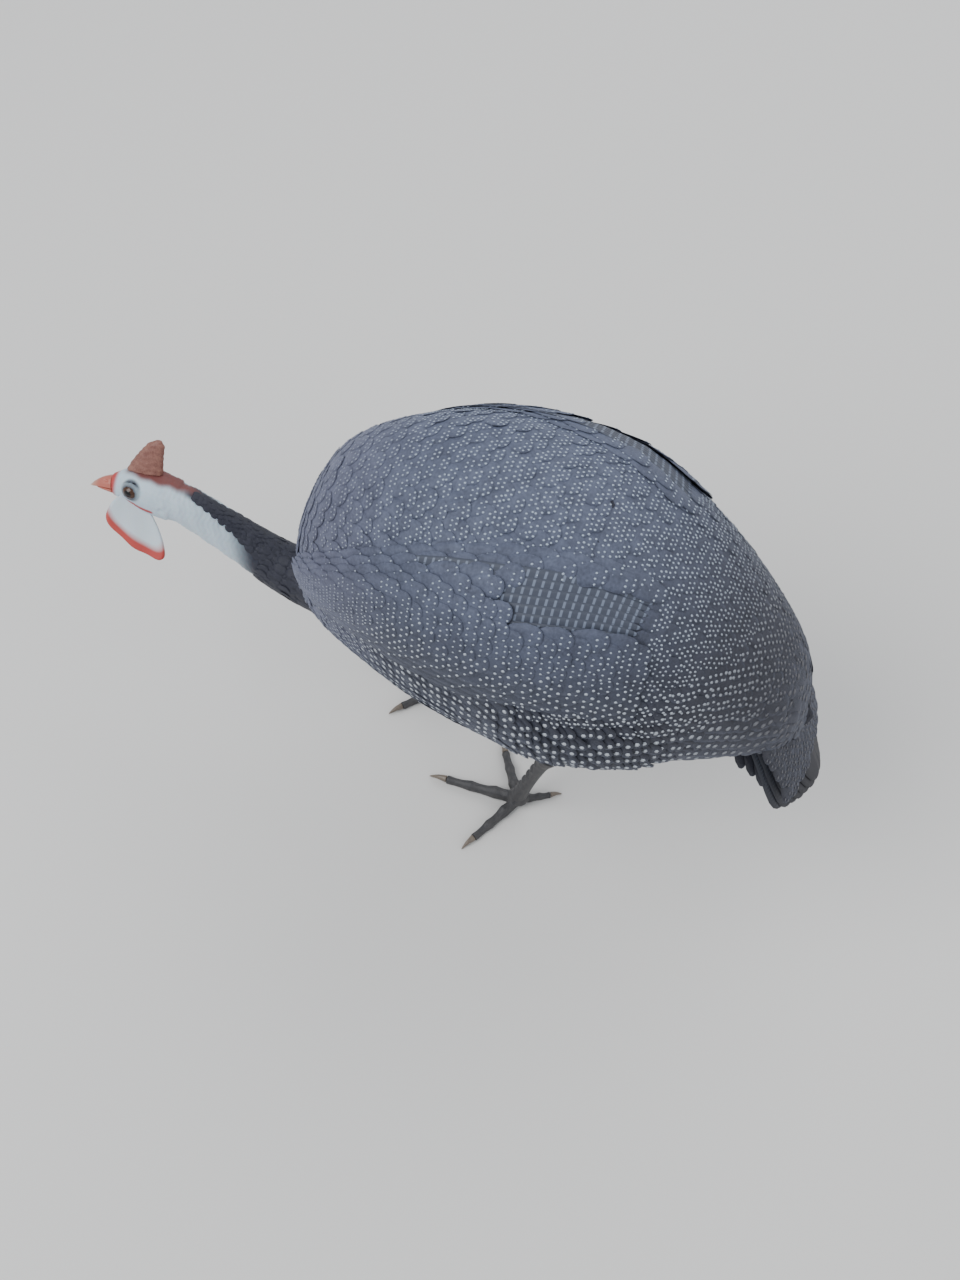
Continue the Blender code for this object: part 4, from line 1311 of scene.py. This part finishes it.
def build_horns():
    """The casque and both halves of the bill."""
    pieces = {"casque": HORN, "bill_upper": BILL, "bill_lower": BILL}
    to_head = HEAD_PLACE.inverted()
    for node, material in pieces.items():
        shape = remeshed(f"{node}_horn", (node,), HORN_VOXEL, 4)
        if node == "casque":
            sink(shape, lambda point: casque_ridges(to_head @ point))
        finish_piece(shape, material, node)


def build_eyes():
    """Each eyeball with its pupil painted around the way it looks."""
    for side, sign in SIDES.items():
        eye = joined_copy(f"eyeball_{side}", (f"eye_{side}",))
        look = Matrix.Rotation(-sign * EYE_LOOK_FORWARD, 4, "Z") @ Vector((sign, 0, 0))
        middle = HEAD_PLACE.inverted() @ EYE_MIDDLES[side]
        shape = Matrix.Translation(middle + look * EYE_BULGE) @ Matrix.Diagonal(EYE_SHAPE)
        eye.data.transform(HEAD_PLACE @ shape @ Matrix.Translation(-middle) @ HEAD_PLACE.inverted())
        round_off = eye.modifiers.new("round", "SUBSURF")
        round_off.levels = 2
        apply_modifier(eye, round_off)
        eye.data.shade_smooth()

        def pupil(point, middle=middle + look * EYE_BULGE, look=look):
            facing = (point - middle).normalized().dot(look)
            return smooth_step(*PUPIL_EDGE, facing), 0, 0

        paint(eye, pupil)
        finish_piece(eye, EYE, f"eye_{side}")


def wattle_row(sign, part):
    """One row of the wattle from its root (part 0) to its free rim (part 1): the points of its
    outer and inner sheet, and the share of red with the part for each."""
    rearward = Vector((0, math.cos(WATTLE_TILT), -math.sin(WATTLE_TILT)))
    width = 0.38 + 0.74 * math.sin(math.pi * (0.04 + 0.56 * part)) ** 0.9
    closing = math.sqrt(max(0.02, 1 - max(0, (part - 0.62) / 0.38) ** 2.8))
    middle = WATTLE_ROOT + WATTLE_HANG * part
    middle.x -= WATTLE_SUNK + WATTLE_HANG.x * (part - part**1.3)
    above, below, marks = [], [], []
    for j in range(WATTLE_COLUMNS):
        across = 2 * j / (WATTLE_COLUMNS - 1) - 1
        aside = across * closing
        wave = WATTLE_WAVE * part**2 * math.sin(6.5 * aside + 2)
        out = WATTLE_CUP * part * aside**2 + wave
        rim = max(abs(across) ** 4 * part, part**5)
        thick = WATTLE_SHEET[0] + WATTLE_SHEET[1] * rim
        spine = middle + rearward * (across * width * closing * WATTLE_HALF_WIDTH)
        for sheet, face in ((above, 1), (below, -1)):
            point = spine + Vector((out + face * thick, 0, face * thick * 0.5))
            sheet.append(HEAD_PLACE @ Vector((sign * point.x, point.y, point.z)))
        red = (abs(across) * (0.45 + 0.55 * part)) ** 4 + part**4.5
        marks.append((min(1, red), part))
    return above, below, marks


def build_wattle(side):
    """A cupped fold of skin from the corner of the mouth, flaring out, with a wavy red rim."""
    turns = [math.pi / 2 * i / (WATTLE_ROWS - 1) for i in range(WATTLE_ROWS)]
    rows = [wattle_row(SIDES[side], math.sin(turn)) for turn in turns]
    top, bottom, marks = zip(*rows)
    store = Plumage()
    store.grid(top, bottom, marks, (0.01, 0.01), (0.98, 0.98))
    wattle = store.build(f"wattle_fold_{side}", WATTLE)
    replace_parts(wattle, f"wattle_{side}")


def build_foot(side):
    """The scaled shank and toes, and a horn for each claw."""
    foot = remeshed(f"scaled_foot_{side}", (f"foot_{side}",), FOOT_VOXEL, 3)
    finish_piece(foot, SHANK, f"foot_{side}")
    for toe in ("inner", "middle", "outer", "hind"):
        node = f"claw_{side}_{toe}"
        claw = remeshed(f"{node}_horn", (node,), HORN_VOXEL, 3)
        finish_piece(claw, CLAW, node)


def guide_surface(nodes, voxel, depth):
    """A surface to grow feathers on, made from the frame's nodes and not kept."""
    copy = remeshed("guide", nodes, voxel, 3)
    sink(copy, lambda point: depth)
    surface = surface_of(copy)
    bpy.data.objects.remove(copy)
    return surface


build_skin()
TORSO_SURFACE = guide_surface(("torso",), SKIN_VOXEL, COAT_DEPTH)
NECK_SURFACE = guide_surface(("neck", "head"), NECK_VOXEL, NECK_COAT)
LEG_SURFACES = {side: guide_surface((f"leg_{side}",), LEG_VOXEL, LEG_COAT) for side in SIDES}

BODY_PARTS = ("front", "middle", "rear")
feathers = {part: Plumage() for part in BODY_PARTS}
spots = {part: Plumage() for part in (*BODY_PARTS, "wing_left", "wing_right", "tail")}
feather_body(feathers, spots)
for part in BODY_PARTS:
    feathers[part].build(f"feathers_{part}", PLUMAGE)
for side in SIDES:
    coverts, quills = Plumage(), Plumage()
    feather_coverts(side, coverts, spots[f"wing_{side}"])
    feather_quills(side, quills)
    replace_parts(coverts.build(f"coverts_{side}", PLUMAGE), f"wing_{side}")
    quills.build(f"flight_feathers_{side}", QUILLS)
    build_leg_skin(side)
    leg_feathers = Plumage()
    feather_leg(side, leg_feathers)
    leg_feathers.build(f"leg_feathers_{side}", PLUMAGE)
tail_quills, tail_coverts = Plumage(), Plumage()
feather_tail(tail_quills, tail_coverts, spots["tail"])
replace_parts(tail_quills.build("tail_feathers", QUILLS), "tail")
tail_coverts.build("tail_coverts", PLUMAGE)
for name, store in spots.items():
    store.build(f"pearls_{name}", PEARLS)
neck_feathers = Plumage()
feather_neck(neck_feathers)
neck_feathers.build("neck_feathers", NECK_PLUMAGE)

build_head()
build_horns()
build_eyes()
for side in SIDES:
    build_wattle(side)
    build_foot(side)


# Floor, light and camera
def build_stage():
    deselect_all()
    bpy.ops.mesh.primitive_plane_add(size=FLOOR_SIZE, location=(0, 0, 0))
    floor = bpy.context.active_object
    floor.name = "studio_floor"
    floor.data.materials.append(plain_material("studio_floor", FLOOR_PALE, 0.9))
    for name, (place, size, power) in LAMPS.items():
        lamp = bpy.data.lights.new(name, "AREA")
        lamp.energy = power
        lamp.size = size
        made = bpy.data.objects.new(name, lamp)
        bpy.context.scene.collection.objects.link(made)
        made.location = place
        made.rotation_euler = (LAMP_AIM - Vector(place)).to_track_quat("-Z", "Y").to_euler()
    world = bpy.data.worlds.new("studio")
    bpy.context.scene.world = world
    world.use_nodes = True
    sky = world.node_tree.nodes["Background"].inputs
    sky["Color"].default_value = (*SKY_COLOUR, 1)
    sky["Strength"].default_value = SKY_STRENGTH


def build_camera():
    lens = bpy.data.cameras.new("photo_view")
    lens.sensor_width = SENSOR
    lens.lens = SENSOR * PHOTO_FOCAL / PHOTO_HEIGHT
    made = bpy.data.objects.new("photo_view", lens)
    bpy.context.scene.collection.objects.link(made)
    made.location = CAMERA_FROM_WIDEST + Vector((0, WIDEST_Y, 0))
    away = Vector(
        (
            math.sin(CAMERA_AZIMUTH) * math.cos(CAMERA_ELEVATION),
            -math.cos(CAMERA_AZIMUTH) * math.cos(CAMERA_ELEVATION),
            math.sin(CAMERA_ELEVATION),
        )
    )
    made.rotation_mode = "QUATERNION"
    made.rotation_quaternion = (-away).to_track_quat("-Z", "Y")
    bpy.context.scene.camera = made


build_stage()
build_camera()
bpy.context.view_layer.update()
